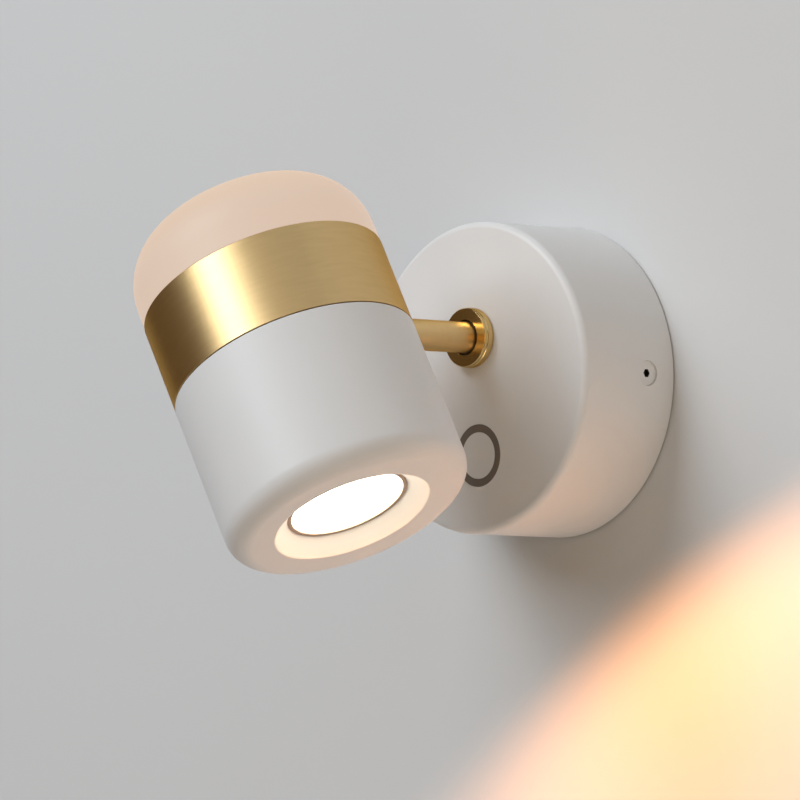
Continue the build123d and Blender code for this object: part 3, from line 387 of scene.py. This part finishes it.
screw_paint = grained("painted_screw", (0.76, 0.75, 0.73), (0.80, 0.79, 0.77), 0.4,
                      grain=5000.0, bump=0.008 * MM)
nodes, link = screw_paint.node_tree.nodes, screw_paint.node_tree.links.new
where, flat = nodes.new("ShaderNodeTexCoord"), nodes.new("ShaderNodeVectorMath")
flat.operation = "MULTIPLY"
flat.inputs[1].default_value = (1.0, 0.0, 1.0)
reach, painted = nodes.new("ShaderNodeVectorMath"), nodes.new("ShaderNodeMapRange")
reach.operation = "LENGTH"
painted.inputs["From Min"].default_value = SIDE_HEAD_FACE - 2 * PAINT_EDGE
painted.inputs["From Max"].default_value = SIDE_HEAD_FACE - PAINT_EDGE
dark_or_painted = nodes.new("ShaderNodeMix")
dark_or_painted.data_type = "RGBA"
dark_or_painted.inputs["A"].default_value = (*BLACK_STEEL_AND_SOCKET_SHADE, 1.0)
link(where.outputs["Object"], flat.inputs[0])
link(flat.outputs["Vector"], reach.inputs[0])
link(reach.outputs["Value"], painted.inputs["Value"])
link(painted.outputs["Result"], dark_or_painted.inputs["Factor"])
link(nodes["texture"].outputs["Colour"], dark_or_painted.inputs["B"])
link(dark_or_painted.outputs["Result"], nodes["Principled BSDF"].inputs["Base Color"])
screw = turned("side_screw", outline(
    (0, -SIDE_SCREW_LENGTH), (SIDE_SHANK_RADIUS, -SIDE_SCREW_LENGTH, END_BREAK),
    (SIDE_SHANK_RADIUS, -SIDE_CONE), (SIDE_HEAD_RADIUS, 0, FINE_BREAK), (0, 0)),
    Matrix.Identity(4), SMALL_SEGMENTS)
socket_radius = SOCKET_FLATS / 2 / cos(pi / HEXAGON)
cut(screw, turned("tool", outline((0, -SOCKET_DEPTH), (socket_radius, -SOCKET_DEPTH),
                                  (socket_radius, MM), (0, MM)), Matrix.Identity(4), HEXAGON))


def copies_group():
    """Geometry tree that sets copies of one piece on a circle, each turned to face outwards."""
    group = bpy.data.node_groups.new("copies_on_a_circle", "GeometryNodeTree")
    for name, kind in (("Piece", "NodeSocketObject"), ("Count", "NodeSocketInt"),
                       ("Angle Between", "NodeSocketFloat"), ("Circle Radius", "NodeSocketFloat"),
                       ("Material", "NodeSocketMaterial")):
        group.interface.new_socket(name, in_out="INPUT", socket_type=kind)
    group.interface.new_socket("Geometry", in_out="OUTPUT", socket_type="NodeSocketGeometry")
    nodes, link = group.nodes, group.links.new
    given, result = nodes.new("NodeGroupInput"), nodes.new("NodeGroupOutput")
    points, index = nodes.new("GeometryNodePoints"), nodes.new("GeometryNodeInputIndex")
    turn = nodes.new("ShaderNodeMath")
    turn.operation = "MULTIPLY"
    across, along = nodes.new("ShaderNodeMath"), nodes.new("ShaderNodeMath")
    across.operation, along.operation = "COSINE", "SINE"
    spot, scaled = nodes.new("ShaderNodeCombineXYZ"), nodes.new("ShaderNodeVectorMath")
    scaled.operation = "SCALE"
    facing = nodes.new("ShaderNodeCombineXYZ")
    piece = nodes.new("GeometryNodeObjectInfo")
    copies = nodes.new("GeometryNodeInstanceOnPoints")
    real = nodes.new("GeometryNodeRealizeInstances")
    painted = nodes.new("GeometryNodeSetMaterial")
    link(given.outputs["Count"], points.inputs["Count"])
    link(index.outputs["Index"], turn.inputs[0])
    link(given.outputs["Angle Between"], turn.inputs[1])
    for wave, axis in ((across, "X"), (along, "Y")):
        link(turn.outputs["Value"], wave.inputs[0])
        link(wave.outputs["Value"], spot.inputs[axis])
    link(spot.outputs["Vector"], scaled.inputs["Vector"])
    link(given.outputs["Circle Radius"], scaled.inputs["Scale"])
    link(scaled.outputs["Vector"], points.inputs["Position"])
    link(turn.outputs["Value"], facing.inputs["Z"])
    link(given.outputs["Piece"], piece.inputs["Object"])
    link(points.outputs["Points"], copies.inputs["Points"])
    link(piece.outputs["Geometry"], copies.inputs["Instance"])
    link(facing.outputs["Vector"], copies.inputs["Rotation"])
    link(copies.outputs["Instances"], real.inputs["Geometry"])
    link(real.outputs["Geometry"], painted.inputs["Geometry"])
    link(given.outputs["Material"], painted.inputs["Material"])
    link(painted.outputs["Geometry"], result.inputs["Geometry"])
    return group


COPIES_ON_A_CIRCLE = copies_group()


def copies(name, piece, count, angle, circle_radius, material, place):
    """Plain mesh of copies of a piece on a circle about the place's Z axis."""
    whole = bpy.data.objects.new(name, bpy.data.meshes.new(name))
    bpy.context.scene.collection.objects.link(whole)
    step = whole.modifiers.new("copies", "NODES")
    step.node_group = COPIES_ON_A_CIRCLE
    given = {"Piece": piece, "Count": count, "Angle Between": angle,
             "Circle Radius": circle_radius, "Material": material}
    for item in COPIES_ON_A_CIRCLE.interface.items_tree:
        if item.in_out == "INPUT":
            step[item.identifier] = given[item.name]
    finished = whole.evaluated_get(bpy.context.evaluated_depsgraph_get())
    whole.data = bpy.data.meshes.new_from_object(finished)
    whole.modifiers.clear()
    bpy.data.objects.remove(piece)
    whole.data.transform(place)
    return whole


screw.data.transform(Matrix.Rotation(radians(90), 4, "Y"))
side_screws = copies("side_screw_pair", screw, 2, radians(180) + 2 * side_turn, SIDE_HEAD_FACE,
                     screw_paint, on_wall @ Matrix.Translation((0, 0, SIDE_SCREW_DEPTH))
                     @ Matrix.Rotation(-side_turn, 4, "Z"))
smooth(side_screws, screw_paint)
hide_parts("side_screws")
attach(side_screws, "base")

# ---------------------------------------------------------------- swivel in the base
# The collar is turned from brass bar and clamps a wider ring with rounded edges against the
# housing.  It leaves a dark gap round the arm.  A black bush, washers and nuts sit behind.
NOSE_RADIUS = 9.45 * MM
COLLAR_RISE = 4.0 * MM
COLLAR_CHAMFER = 0.25 * MM
COLLAR_BORE = 6.0 * MM
RECESS_RADIUS = 5.7 * MM
RECESS_DEPTH = 1.5 * MM
SHANK_REACH = 5.0 * MM
FLANGE_RADIUS = 9.6 * MM
FLANGE_RISE = 3.0 * MM
FLANGE_EDGE_RADIUS = 0.7 * MM
FLANGE_HEEL_RADIUS = 0.9 * MM
EDGE_BRASS = (0.60, 0.42, 0.22, 1.0)
STREAKS_PER_METRE = 900.0
BROAD_LINES = 0.12
LINE_DETAIL = 3.0
QUARTER_TURN = 0.25


def lines_group():
    """Node group for turned and brushed metal: fine lines round the Z axis of the vector."""
    group = bpy.data.node_groups.new("turned_lines", "ShaderNodeTree")
    for name, kind in (("Vector", "NodeSocketVector"), ("Lines per Metre", "NodeSocketFloat"),
                       ("Colour", "NodeSocketColor"), ("Line Colour", "NodeSocketColor"),
                       ("Roughness", "NodeSocketFloat"), ("Roughness Spread", "NodeSocketFloat")):
        group.interface.new_socket(name, in_out="INPUT", socket_type=kind)
    for name, kind in (("Colour", "NodeSocketColor"), ("Roughness", "NodeSocketFloat"),
                       ("Height", "NodeSocketFloat")):
        group.interface.new_socket(name, in_out="OUTPUT", socket_type=kind)
    nodes, link = group.nodes, group.links.new
    given, result = nodes.new("NodeGroupInput"), nodes.new("NodeGroupOutput")
    parts = nodes.new("ShaderNodeSeparateXYZ")
    flat, radius = nodes.new("ShaderNodeVectorMath"), nodes.new("ShaderNodeVectorMath")
    flat.operation, radius.operation = "MULTIPLY", "LENGTH"
    flat.inputs[1].default_value = (1.0, 1.0, 0.0)
    travel, dense = nodes.new("ShaderNodeMath"), nodes.new("ShaderNodeMath")
    travel.operation, dense.operation = "ADD", "MULTIPLY"
    around = nodes.new("ShaderNodeVectorMath")
    around.operation = "MULTIPLY"
    around.inputs[1].default_value = (STREAKS_PER_METRE, STREAKS_PER_METRE, 0.0)
    lift, joined = nodes.new("ShaderNodeCombineXYZ"), nodes.new("ShaderNodeVectorMath")
    fine, broad = nodes.new("ShaderNodeTexNoise"), nodes.new("ShaderNodeTexNoise")
    fine.inputs["Scale"].default_value = 1.0
    fine.inputs["Detail"].default_value = LINE_DETAIL
    broad.inputs["Scale"].default_value = BROAD_LINES
    broad.inputs["Detail"].default_value = LINE_DETAIL
    mix, spread = nodes.new("ShaderNodeMix"), nodes.new("ShaderNodeMath")
    mix.data_type, spread.operation = "RGBA", "MULTIPLY_ADD"
    link(given.outputs["Vector"], parts.inputs["Vector"])
    link(given.outputs["Vector"], flat.inputs[0])
    link(flat.outputs["Vector"], radius.inputs[0])
    link(parts.outputs["Z"], travel.inputs[0])
    link(radius.outputs["Value"], travel.inputs[1])
    link(travel.outputs["Value"], dense.inputs[0])
    link(given.outputs["Lines per Metre"], dense.inputs[1])
    link(given.outputs["Vector"], around.inputs[0])
    link(dense.outputs["Value"], lift.inputs["Z"])
    link(around.outputs["Vector"], joined.inputs[0])
    link(lift.outputs["Vector"], joined.inputs[1])
    for noise in (fine, broad):
        link(joined.outputs["Vector"], noise.inputs["Vector"])
    link(broad.outputs["Fac"], mix.inputs["Factor"])
    link(given.outputs["Colour"], mix.inputs["A"])
    link(given.outputs["Line Colour"], mix.inputs["B"])
    link(fine.outputs["Fac"], spread.inputs[0])
    link(given.outputs["Roughness Spread"], spread.inputs[1])
    link(given.outputs["Roughness"], spread.inputs[2])
    link(mix.outputs["Result"], result.inputs["Colour"])
    link(spread.outputs["Value"], result.inputs["Roughness"])
    link(fine.outputs["Fac"], result.inputs["Height"])
    return group


TURNED_LINES = lines_group()


def centred_on(material, place):
    """Object coordinates about this place, which is where the material's pattern is centred."""
    nodes, link = material.node_tree.nodes, material.node_tree.links.new
    where, centred = nodes.new("ShaderNodeTexCoord"), nodes.new("ShaderNodeMapping")
    centred.vector_type = "TEXTURE"
    centred.inputs["Location"].default_value = place.to_translation()
    centred.inputs["Rotation"].default_value = place.to_euler()
    link(where.outputs["Object"], centred.inputs["Vector"])
    return centred.outputs["Vector"]


def lined(name, colour, line_colour, roughness, place, spread=0.12, lines=6000.0,
          bump=0.004 * MM, drawn_out=0.6):
    """Turned or brushed metal with its lines round the Z axis of the place."""
    values = {"Colour": (*colour, 1.0), "Line Colour": (*line_colour, 1.0),
              "Roughness": roughness, "Roughness Spread": spread, "Lines per Metre": lines}
    material = textured(name, TURNED_LINES, values, bump, metallic=1.0)
    nodes, link = material.node_tree.nodes, material.node_tree.links.new
    link(centred_on(material, place), nodes["texture"].inputs["Vector"])
    along = nodes.new("ShaderNodeTangent")
    along.direction_type, along.uv_map = "UV_MAP", "UVMap"
    shader = nodes["Principled BSDF"]
    shader.inputs["Specular Tint"].default_value = EDGE_BRASS
    shader.inputs["Anisotropic"].default_value = drawn_out
    shader.inputs["Anisotropic Rotation"].default_value = QUARTER_TURN
    link(along.outputs["Tangent"], shader.inputs["Tangent"])
    return material


collar_brass = lined("turned_brass", (0.78, 0.57, 0.26), (0.71, 0.51, 0.23), 0.14, swivel_place,
                     spread=0.08, lines=9000.0, drawn_out=0.3)
flange_face = BASE_FRONT + FLANGE_RISE
nose_face = BASE_FRONT + COLLAR_RISE
collar = turned("swivel_collar_nose", outline(
    (COLLAR_BORE, inner_front - SHANK_REACH), (SHANK_RADIUS, inner_front - SHANK_REACH, END_BREAK),
    (SHANK_RADIUS, flange_face), (NOSE_RADIUS, flange_face),
    (NOSE_RADIUS, nose_face - COLLAR_CHAMFER, FINE_BREAK),
    (NOSE_RADIUS - COLLAR_CHAMFER, nose_face, FINE_BREAK), (RECESS_RADIUS, nose_face, FINE_BREAK),
    (RECESS_RADIUS, nose_face - RECESS_DEPTH), (COLLAR_BORE, nose_face - RECESS_DEPTH)),
    swivel_place, MEDIUM_SEGMENTS)
flange = turned("collar_flange_ring", outline(
    (SHANK_RADIUS + SHANK_GAP, BASE_FRONT), (FLANGE_RADIUS, BASE_FRONT, FLANGE_HEEL_RADIUS),
    (FLANGE_RADIUS, flange_face, FLANGE_EDGE_RADIUS), (SHANK_RADIUS + SHANK_GAP, flange_face)),
    swivel_place, MEDIUM_SEGMENTS)
for piece, node in ((collar, "swivel_collar"), (flange, "collar_flange")):
    smooth(piece, collar_brass)
    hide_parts(node)
    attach(piece, "base")
dress(black_moulding, "swivel_bush")
dress(zinc, "collar_nut", "stop_pin", "thrust_washer", "disc_spring", "stop_washer", "arm_nut")

# ---------------------------------------------------------------- arm
# A satin brass tube, brushed round, that turns in the bush and carries the head.  The lead to
# the LEDs runs through it.
ARM_RADIUS = 5.0 * MM
ARM_BORE_RADIUS = 3.5 * MM
ARM_TAIL = -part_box("arm")[1].y
ARM_TIP = -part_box("arm")[0].y

arm_brass = lined("brushed_arm_brass", (0.84, 0.61, 0.30), (0.78, 0.55, 0.26), 0.27, swivel_place,
                  lines=5000.0)
arm = turned("arm_tube", outline(
    (ARM_BORE_RADIUS, ARM_TAIL), (ARM_RADIUS, ARM_TAIL, END_BREAK),
    (ARM_RADIUS, ARM_TIP, END_BREAK), (ARM_BORE_RADIUS, ARM_TIP)), swivel_place, SMALL_SEGMENTS)
smooth(arm, arm_brass)
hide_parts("arm")
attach(arm, "head")
dress(white_sleeve, "arm_lead", "glow_lead", "spot_lead")
dress(black_moulding, "lead_joint")

# ---------------------------------------------------------------- core of the head
# An aluminium casting in the middle of the head that carries everything else.  A steel grub
# screw in it bites on the arm.
cast_aluminium = grained("cast_aluminium", (0.60, 0.60, 0.61), (0.70, 0.70, 0.71), 0.38,
                         spread=0.15, grain=1800.0, mottle=120.0, bump=0.03 * MM, metallic=1.0)
dress(cast_aluminium, "head_core")
dress(zinc, "arm_grub_screw")

# ---------------------------------------------------------------- brass band
# A brass sleeve round the core, brushed round with a satin finish.  Its edges are broken, and
# the arm goes in through a hole on the side of the wall.
HEAD_RADIUS = 39.6 * MM
HEAD_DISTANCE = 124.6 * MM
# The swivel turns as far to either side of hanging straight down.
HEAD_TURN = -radians(sum(frame["joints"][0]["range_deg"]) / 2)
BAND_ABOVE = 13.8 * MM
BAND_BELOW = 15.6 * MM
BAND_WALL = 2.0 * MM
BAND_CHAMFER = 0.3 * MM
ARM_HOLE_RADIUS = 5.1 * MM

head_place = Matrix.Translation((0, -HEAD_DISTANCE, ARM_RISE)) @ Matrix.Rotation(
    -HEAD_TURN, 4, "Y")
band_brass = lined("brushed_band_brass", (0.84, 0.61, 0.30), (0.75, 0.53, 0.25), 0.35, head_place,
                   lines=7000.0, bump=0.008 * MM, drawn_out=0.5)
band = turned("brass_band_sleeve", outline(
    (HEAD_RADIUS - BAND_WALL, -BAND_BELOW), (HEAD_RADIUS, -BAND_BELOW, FINE_BREAK),
    (HEAD_RADIUS, BAND_ABOVE, BAND_CHAMFER), (HEAD_RADIUS - BAND_WALL, BAND_ABOVE)), head_place)
cut(band, plug(ARM_HOLE_RADIUS, HEAD_RADIUS / 2, HEAD_RADIUS + MM,
               head_place @ Matrix.Rotation(-radians(90), 4, "X")))
smooth(band, band_brass)
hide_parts("brass_band")
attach(band, "head")

# ---------------------------------------------------------------- opal glass
# A thick opal glass cup, acid frosted, with a wide radius round its top.  Its neck sits on a
# silicone ring inside the band, and the LEDs below make it glow softly.
GLASS_RADIUS = 39.4 * MM
GLASS_TOP = 41.8 * MM
GLASS_EDGE_RADIUS = 20.5 * MM
GLASS_WALL = 3.0 * MM
NECK_RADIUS = 37.4 * MM
NECK_END = 10.0 * MM
NECK_LIP = 3.0 * MM
GLASS_SHOULDER = 1.0 * MM
GLASS_FOOT_RADIUS = 0.4 * MM
WARM_FROM = 24.0 * MM
WARM_TO = 38.0 * MM
SIDE_GLOW = (0.975, 0.725, 0.56)
TOP_GLOW = (0.99, 0.705, 0.50)
OPAL_GLOW = 0.60
OPAL_GLOSS = 0.3

# The glass's own colour is kept dark, and a painted glow gives most of its look: it stands for the
# LEDs' light coming through the glass.
opal = grained("opal_glass", (0.16, 0.145, 0.125), (0.18, 0.165, 0.145), 0.5, spread=0.06,
               grain=9000.0, mottle=30.0, bump=0.004 * MM)
nodes, link = opal.node_tree.nodes, opal.node_tree.links.new
# Painted sheen: the glow turns warmer towards the top, where the thick curved glass is seen edge
# on.
parts, rise, painted_sheen_tint = (nodes.new("ShaderNodeSeparateXYZ"), nodes.new("ShaderNodeMapRange"),
                       nodes.new("ShaderNodeMix"))
rise.interpolation_type = "SMOOTHSTEP"
rise.inputs["From Min"].default_value = WARM_FROM
rise.inputs["From Max"].default_value = WARM_TO
painted_sheen_tint.data_type = "RGBA"
painted_sheen_tint.inputs["A"].default_value = (*SIDE_GLOW, 1.0)
painted_sheen_tint.inputs["B"].default_value = (*TOP_GLOW, 1.0)
link(centred_on(opal, head_place), parts.inputs["Vector"])
link(parts.outputs["Z"], rise.inputs["Value"])
link(rise.outputs["Result"], painted_sheen_tint.inputs["Factor"])
link(painted_sheen_tint.outputs["Result"], nodes["Principled BSDF"].inputs["Emission Color"])
nodes["Principled BSDF"].inputs["Emission Strength"].default_value = OPAL_GLOW
nodes["Principled BSDF"].inputs["Specular IOR Level"].default_value = OPAL_GLOSS
glass_bore = GLASS_RADIUS - GLASS_WALL
neck_bore = NECK_RADIUS - GLASS_WALL
glass = turned("opal_glass_cup", outline(
    (0, GLASS_TOP - GLASS_WALL),
    (glass_bore, GLASS_TOP - GLASS_WALL, GLASS_EDGE_RADIUS - GLASS_WALL),
    (glass_bore, BAND_ABOVE + GLASS_WALL), (neck_bore, BAND_ABOVE + GLASS_SHOULDER),
    (neck_bore, NECK_END + NECK_LIP), (neck_bore - NECK_LIP, NECK_END + NECK_LIP),
    (neck_bore - NECK_LIP, NECK_END), (NECK_RADIUS, NECK_END), (NECK_RADIUS, BAND_ABOVE),
    (GLASS_RADIUS, BAND_ABOVE, GLASS_FOOT_RADIUS), (GLASS_RADIUS, GLASS_TOP, GLASS_EDGE_RADIUS),
    (0, GLASS_TOP)), head_place)
smooth(glass, opal)
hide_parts("glass_diffuser")
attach(glass, "head")
clear_silicone = grained("clear_silicone", (0.72, 0.72, 0.70), (0.78, 0.78, 0.76), 0.35)
dress(clear_silicone, "glass_gasket")

# ---------------------------------------------------------------- glow board
# Twelve small LEDs on a white circuit board under the glass.  Four long steel screws hold it,
# and the white plate that clamps the lip of the glass, on the core's posts.
white_mask = grained("white_solder_mask", (0.84, 0.84, 0.82), (0.88, 0.88, 0.86), 0.3)
phosphor = grained("led_phosphor", (0.90, 0.68, 0.22), (0.95, 0.76, 0.30), 0.35)
dress(white_moulding, "glow_plate")
dress(white_mask, "glow_board", "spot_board")
dress(phosphor, "glow_leds", "spot_led")
dress(zinc, "glow_screws")

# ---------------------------------------------------------------- heat sink
# A finned aluminium piece inside the cup, screwed to the core's posts.  The white board with the
# spot's LED is screwed to its lower end.
dress(cast_aluminium, "heat_sink")
dress(zinc, "sink_screws", "board_screws")

# ---------------------------------------------------------------- spot housing
# The white cup below the band: spun metal, painted like the base, with a rounded rim and a
# coned mouth.  Its spigot slides into the core, and a fine line is left under the band.
SPOT_TOP = 15.9 * MM
SPOT_END = 69.6 * MM
SPOT_WALL = 2.5 * MM
SPOT_EDGE_RADIUS = 7.0 * MM
SPOT_FLOOR = 4.0 * MM
TOP_BEVEL = 0.4 * MM
MOUTH_RADIUS = 25.4 * MM
MOUTH_LIP_RADIUS = 1.2 * MM
WINDOW_RADIUS = 19.7 * MM
WINDOW_LEVEL = 64.8 * MM
LENS_SEAT = 63.6 * MM
POCKET_RADIUS = 21.9 * MM
POCKET_OUTSIDE = 24.5 * MM
POCKET_START = 57.4 * MM
SPIGOT_RADIUS = 34.9 * MM
SPIGOT_BORE = 32.4 * MM
SPIGOT_END = 9.0 * MM
SHOULDER_LEVEL = 18.9 * MM

spot_place = head_place @ Matrix.Rotation(radians(180), 4, "X")
spot = turned("spot_housing_cup", outline(
    (SPIGOT_BORE, SPIGOT_END), (SPIGOT_BORE, SHOULDER_LEVEL),
    (HEAD_RADIUS - SPOT_WALL, SHOULDER_LEVEL),
    (HEAD_RADIUS - SPOT_WALL, SPOT_END - SPOT_FLOOR, SPOT_EDGE_RADIUS - SPOT_WALL),
    (POCKET_OUTSIDE, SPOT_END - SPOT_FLOOR), (POCKET_OUTSIDE, POCKET_START),
    (POCKET_RADIUS, POCKET_START), (POCKET_RADIUS, LENS_SEAT), (WINDOW_RADIUS, LENS_SEAT),
    (WINDOW_RADIUS, WINDOW_LEVEL), (MOUTH_RADIUS, SPOT_END, MOUTH_LIP_RADIUS),
    (HEAD_RADIUS, SPOT_END, SPOT_EDGE_RADIUS), (HEAD_RADIUS, SPOT_TOP, TOP_BEVEL),
    (SPIGOT_RADIUS, SPOT_TOP), (SPIGOT_RADIUS, SPIGOT_END)), spot_place)
smooth(spot, white_paint)
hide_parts("spot_housing")
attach(spot, "head")

# ---------------------------------------------------------------- lens and reflector
# A frosted lens, lit from behind, in a thin plastic ring at the bottom of the mouth.  Behind it
# a bright cone gathers the light, and a threaded ring holds both.
LENS_RADIUS = 18.2 * MM
LENS_FACE = 63.9 * MM
LENS_BACK = 61.2 * MM
LENS_LIP_FACE = 62.4 * MM
LIP_RADIUS = 21.5 * MM
TRIM_RADIUS = 19.6 * MM
TRIM_BORE = 18.3 * MM
LAMP_COLOUR = (1.0, 0.86, 0.66)
LENS_GLOW = 10.5

bright_coat = grained("bright_coating", (0.88, 0.88, 0.88), (0.92, 0.92, 0.92), 0.12,
                      metallic=1.0)
# The trim ring's dark tan is partly its plastic and partly painted shade, standing for the shaded
# step round the lens.
trim_plastic = grained("trim_plastic", (0.40, 0.30, 0.22), (0.45, 0.34, 0.26), 0.5)
frosted = grained("frosted_lens", (0.95, 0.92, 0.86), (0.98, 0.95, 0.90), 0.35)
frosted_shader = frosted.node_tree.nodes["Principled BSDF"]
frosted_shader.inputs["Emission Color"].default_value = (*LAMP_COLOUR, 1.0)
frosted_shader.inputs["Emission Strength"].default_value = LENS_GLOW
trim = turned("lens_trim_ring", outline(
    (TRIM_BORE, LENS_LIP_FACE), (LIP_RADIUS, LENS_LIP_FACE), (LIP_RADIUS, LENS_SEAT),
    (TRIM_RADIUS, LENS_SEAT), (TRIM_RADIUS, WINDOW_LEVEL, FINE_BREAK),
    (TRIM_BORE, WINDOW_LEVEL, FINE_BREAK)), spot_place, MEDIUM_SEGMENTS)
lens = turned("frosted_lens_disc", outline(
    (0, LENS_BACK), (LIP_RADIUS, LENS_BACK), (LIP_RADIUS, LENS_LIP_FACE),
    (LENS_RADIUS, LENS_LIP_FACE), (LENS_RADIUS, LENS_FACE, END_BREAK), (0, LENS_FACE)),
    spot_place, MEDIUM_SEGMENTS)
smooth(trim, trim_plastic)
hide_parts("lens_trim")
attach(trim, "head")
smooth(lens, frosted)
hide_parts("lens")
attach(lens, "head")
dress(bright_coat, "reflector")
dress(black_moulding, "lens_retainer")

# The beam that leaves the lens, which turns with the head and lights the wall beside it.
BEAM_COLOUR = (1.0, 0.44, 0.18)
BEAM_POWER = 2.2
BEAM_ANGLE = radians(169)
BEAM_EDGE = 0.27
beam_light = bpy.data.lights.new("beam", "SPOT")
beam_light.energy = BEAM_POWER
beam_light.color = BEAM_COLOUR
beam_light.spot_size = BEAM_ANGLE
beam_light.spot_blend = BEAM_EDGE
beam_light.shadow_soft_size = LENS_RADIUS
beam = bpy.data.objects.new("beam", beam_light)
bpy.context.scene.collection.objects.link(beam)
beam.matrix_world = spot_place @ Matrix.Translation((0, 0, SPOT_END)) @ Matrix.Rotation(
    radians(180), 4, "X")
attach(beam, "head")

# ---------------------------------------------------------------- wall, floor and studio light
# A pale wall with a wall box opening behind the base, a pale floor far below, and soft lamps: cool
# daylight from above, and the warm light that the room and the floor give back.  Seen from
# behind, the wall is clear, so that the back of the light shows.
WALL_COLOUR = (0.70, 0.695, 0.685)
WALL_REACH = 1.6
WALL_BOX_RADIUS = 0.042
FLOOR_REACH = 3.0
FLOOR_LEVEL = -1.6
BACKDROP_ROUGHNESS = 0.9


def backdrop_material(name, colour):
    """Pale matt surface that is clear from behind."""
    material = bpy.data.materials.new(name)
    material.use_nodes = True
    nodes, link = material.node_tree.nodes, material.node_tree.links.new
    shader, end = nodes["Principled BSDF"], nodes["Material Output"]
    shader.inputs["Base Color"].default_value = (*colour, 1.0)
    shader.inputs["Roughness"].default_value = BACKDROP_ROUGHNESS
    clear, side = nodes.new("ShaderNodeBsdfTransparent"), nodes.new("ShaderNodeNewGeometry")
    either = nodes.new("ShaderNodeMixShader")
    link(side.outputs["Backfacing"], either.inputs["Fac"])
    link(shader.outputs["BSDF"], either.inputs[1])
    link(clear.outputs["BSDF"], either.inputs[2])
    link(either.outputs["Shader"], end.inputs["Surface"])
    return material


def backdrop(name, points, faces, colour):
    """Flat stage surface."""
    mesh = bpy.data.meshes.new(name)
    mesh.from_pydata(points, [], faces)
    mesh.materials.append(backdrop_material(name, colour))
    surface = bpy.data.objects.new(name, mesh)
    bpy.context.scene.collection.objects.link(surface)


BOX_SEGMENTS = 64
inner = [(WALL_BOX_RADIUS * cos(2 * pi * k / BOX_SEGMENTS), 0.0,
          WALL_BOX_RADIUS * sin(2 * pi * k / BOX_SEGMENTS)) for k in range(BOX_SEGMENTS)]
outer = [(x / WALL_BOX_RADIUS * WALL_REACH, 0.0, z / WALL_BOX_RADIUS * WALL_REACH)
         for x, _, z in inner]
wall_faces = [(BOX_SEGMENTS + k, BOX_SEGMENTS + (k + 1) % BOX_SEGMENTS, (k + 1) % BOX_SEGMENTS, k)
              for k in range(BOX_SEGMENTS)]
backdrop("wall", inner + outer, wall_faces, WALL_COLOUR)
backdrop("floor", [(x, y, FLOOR_LEVEL) for x, y in (
    (-FLOOR_REACH, -FLOOR_REACH), (FLOOR_REACH, -FLOOR_REACH), (FLOOR_REACH, 0),
    (-FLOOR_REACH, 0))], [(0, 1, 2, 3)], WALL_COLOUR)


def studio_lamp(name, way, distance, width, height, power, colour=(1, 1, 1)):
    """Soft box that looks at the light from this direction."""
    lamp = bpy.data.lights.new(name, "AREA")
    lamp.shape, lamp.size, lamp.size_y = "RECTANGLE", width, height
    lamp.energy, lamp.color = power, colour
    box = bpy.data.objects.new(name, lamp)
    bpy.context.scene.collection.objects.link(box)
    way = Vector(way).normalized()
    turn = way.to_track_quat("Z", "Y").to_matrix().to_4x4()
    box.matrix_world = Matrix.Translation(way * distance) @ turn


DAYLIGHT = (0.80, 0.875, 0.955)
ROOM_BOUNCE = (1.0, 0.70, 0.30)
FLOOR_BOUNCE = (1.0, 0.85, 0.70)
ROOM_COLOUR = (1.0, 0.66, 0.36)
ROOM_STRENGTH = 0.10
studio_lamp("key_lamp", (-0.20, -0.80, 0.56), distance=2.2, width=1.1, height=1.3, power=38.0,
            colour=DAYLIGHT)
studio_lamp("reflector_panel", (0.62, -0.45, 0.64), distance=2.5, width=3.6, height=2.0,
            power=14.5, colour=DAYLIGHT)
studio_lamp("room_bounce", (0.72, -0.69, -0.05), distance=1.5, width=0.8, height=0.8, power=1.4,
            colour=ROOM_BOUNCE)
studio_lamp("floor_bounce", (0.48, -0.24, -0.84), distance=1.5, width=0.8, height=0.8, power=3.7,
            colour=FLOOR_BOUNCE)
studio_lamp("back_lamp", (-0.30, 0.80, 0.45), distance=1.5, width=0.8, height=0.8, power=15.0)

# The room gives back a little warm light from all round, and past the wall's edge the picture
# has the wall's own colour.
world = bpy.data.worlds.new("studio")
bpy.context.scene.world = world
world.use_nodes = True
nodes, link = world.node_tree.nodes, world.node_tree.links.new
seen, room = nodes.new("ShaderNodeBackground"), nodes["Background"]
room.inputs["Color"].default_value = (*ROOM_COLOUR, 1.0)
room.inputs["Strength"].default_value = ROOM_STRENGTH
seen.inputs["Color"].default_value = (*WALL_COLOUR, 1.0)
ray, either = nodes.new("ShaderNodeLightPath"), nodes.new("ShaderNodeMixShader")
link(ray.outputs["Is Camera Ray"], either.inputs["Fac"])
link(room.outputs["Background"], either.inputs[1])
link(seen.outputs["Background"], either.inputs[2])
link(either.outputs["Shader"], nodes["World Output"].inputs["Surface"])

# ---------------------------------------------------------------- camera
# A long lens that looks slightly upwards, from below the light's height and from its right, and
# is turned a little on its own axis.
VIEW_AZIMUTH = radians(46.427)
VIEW_ELEVATION = radians(-5.62)
VIEW_ROLL = radians(-2.257)
VIEW_DISTANCE = 2.5814
VIEW_SIDE = -0.05306
VIEW_RISE = -0.00559
LENS_LENGTH = 360.0
NEAREST, FARTHEST = 0.1, 20.0

camera_data = bpy.data.cameras.new("camera")
camera_data.lens = LENS_LENGTH
camera_data.clip_start, camera_data.clip_end = NEAREST, FARTHEST
camera = bpy.data.objects.new("camera", camera_data)
bpy.context.scene.collection.objects.link(camera)
camera.matrix_world = (
    Matrix.Rotation(VIEW_AZIMUTH, 4, "Z") @ Matrix.Rotation(radians(90) - VIEW_ELEVATION, 4, "X")
    @ Matrix.Rotation(VIEW_ROLL, 4, "Z")
    @ Matrix.Translation((VIEW_SIDE, VIEW_RISE, VIEW_DISTANCE)))
bpy.context.scene.camera = camera
bpy.context.scene.view_settings.view_transform = "Standard"
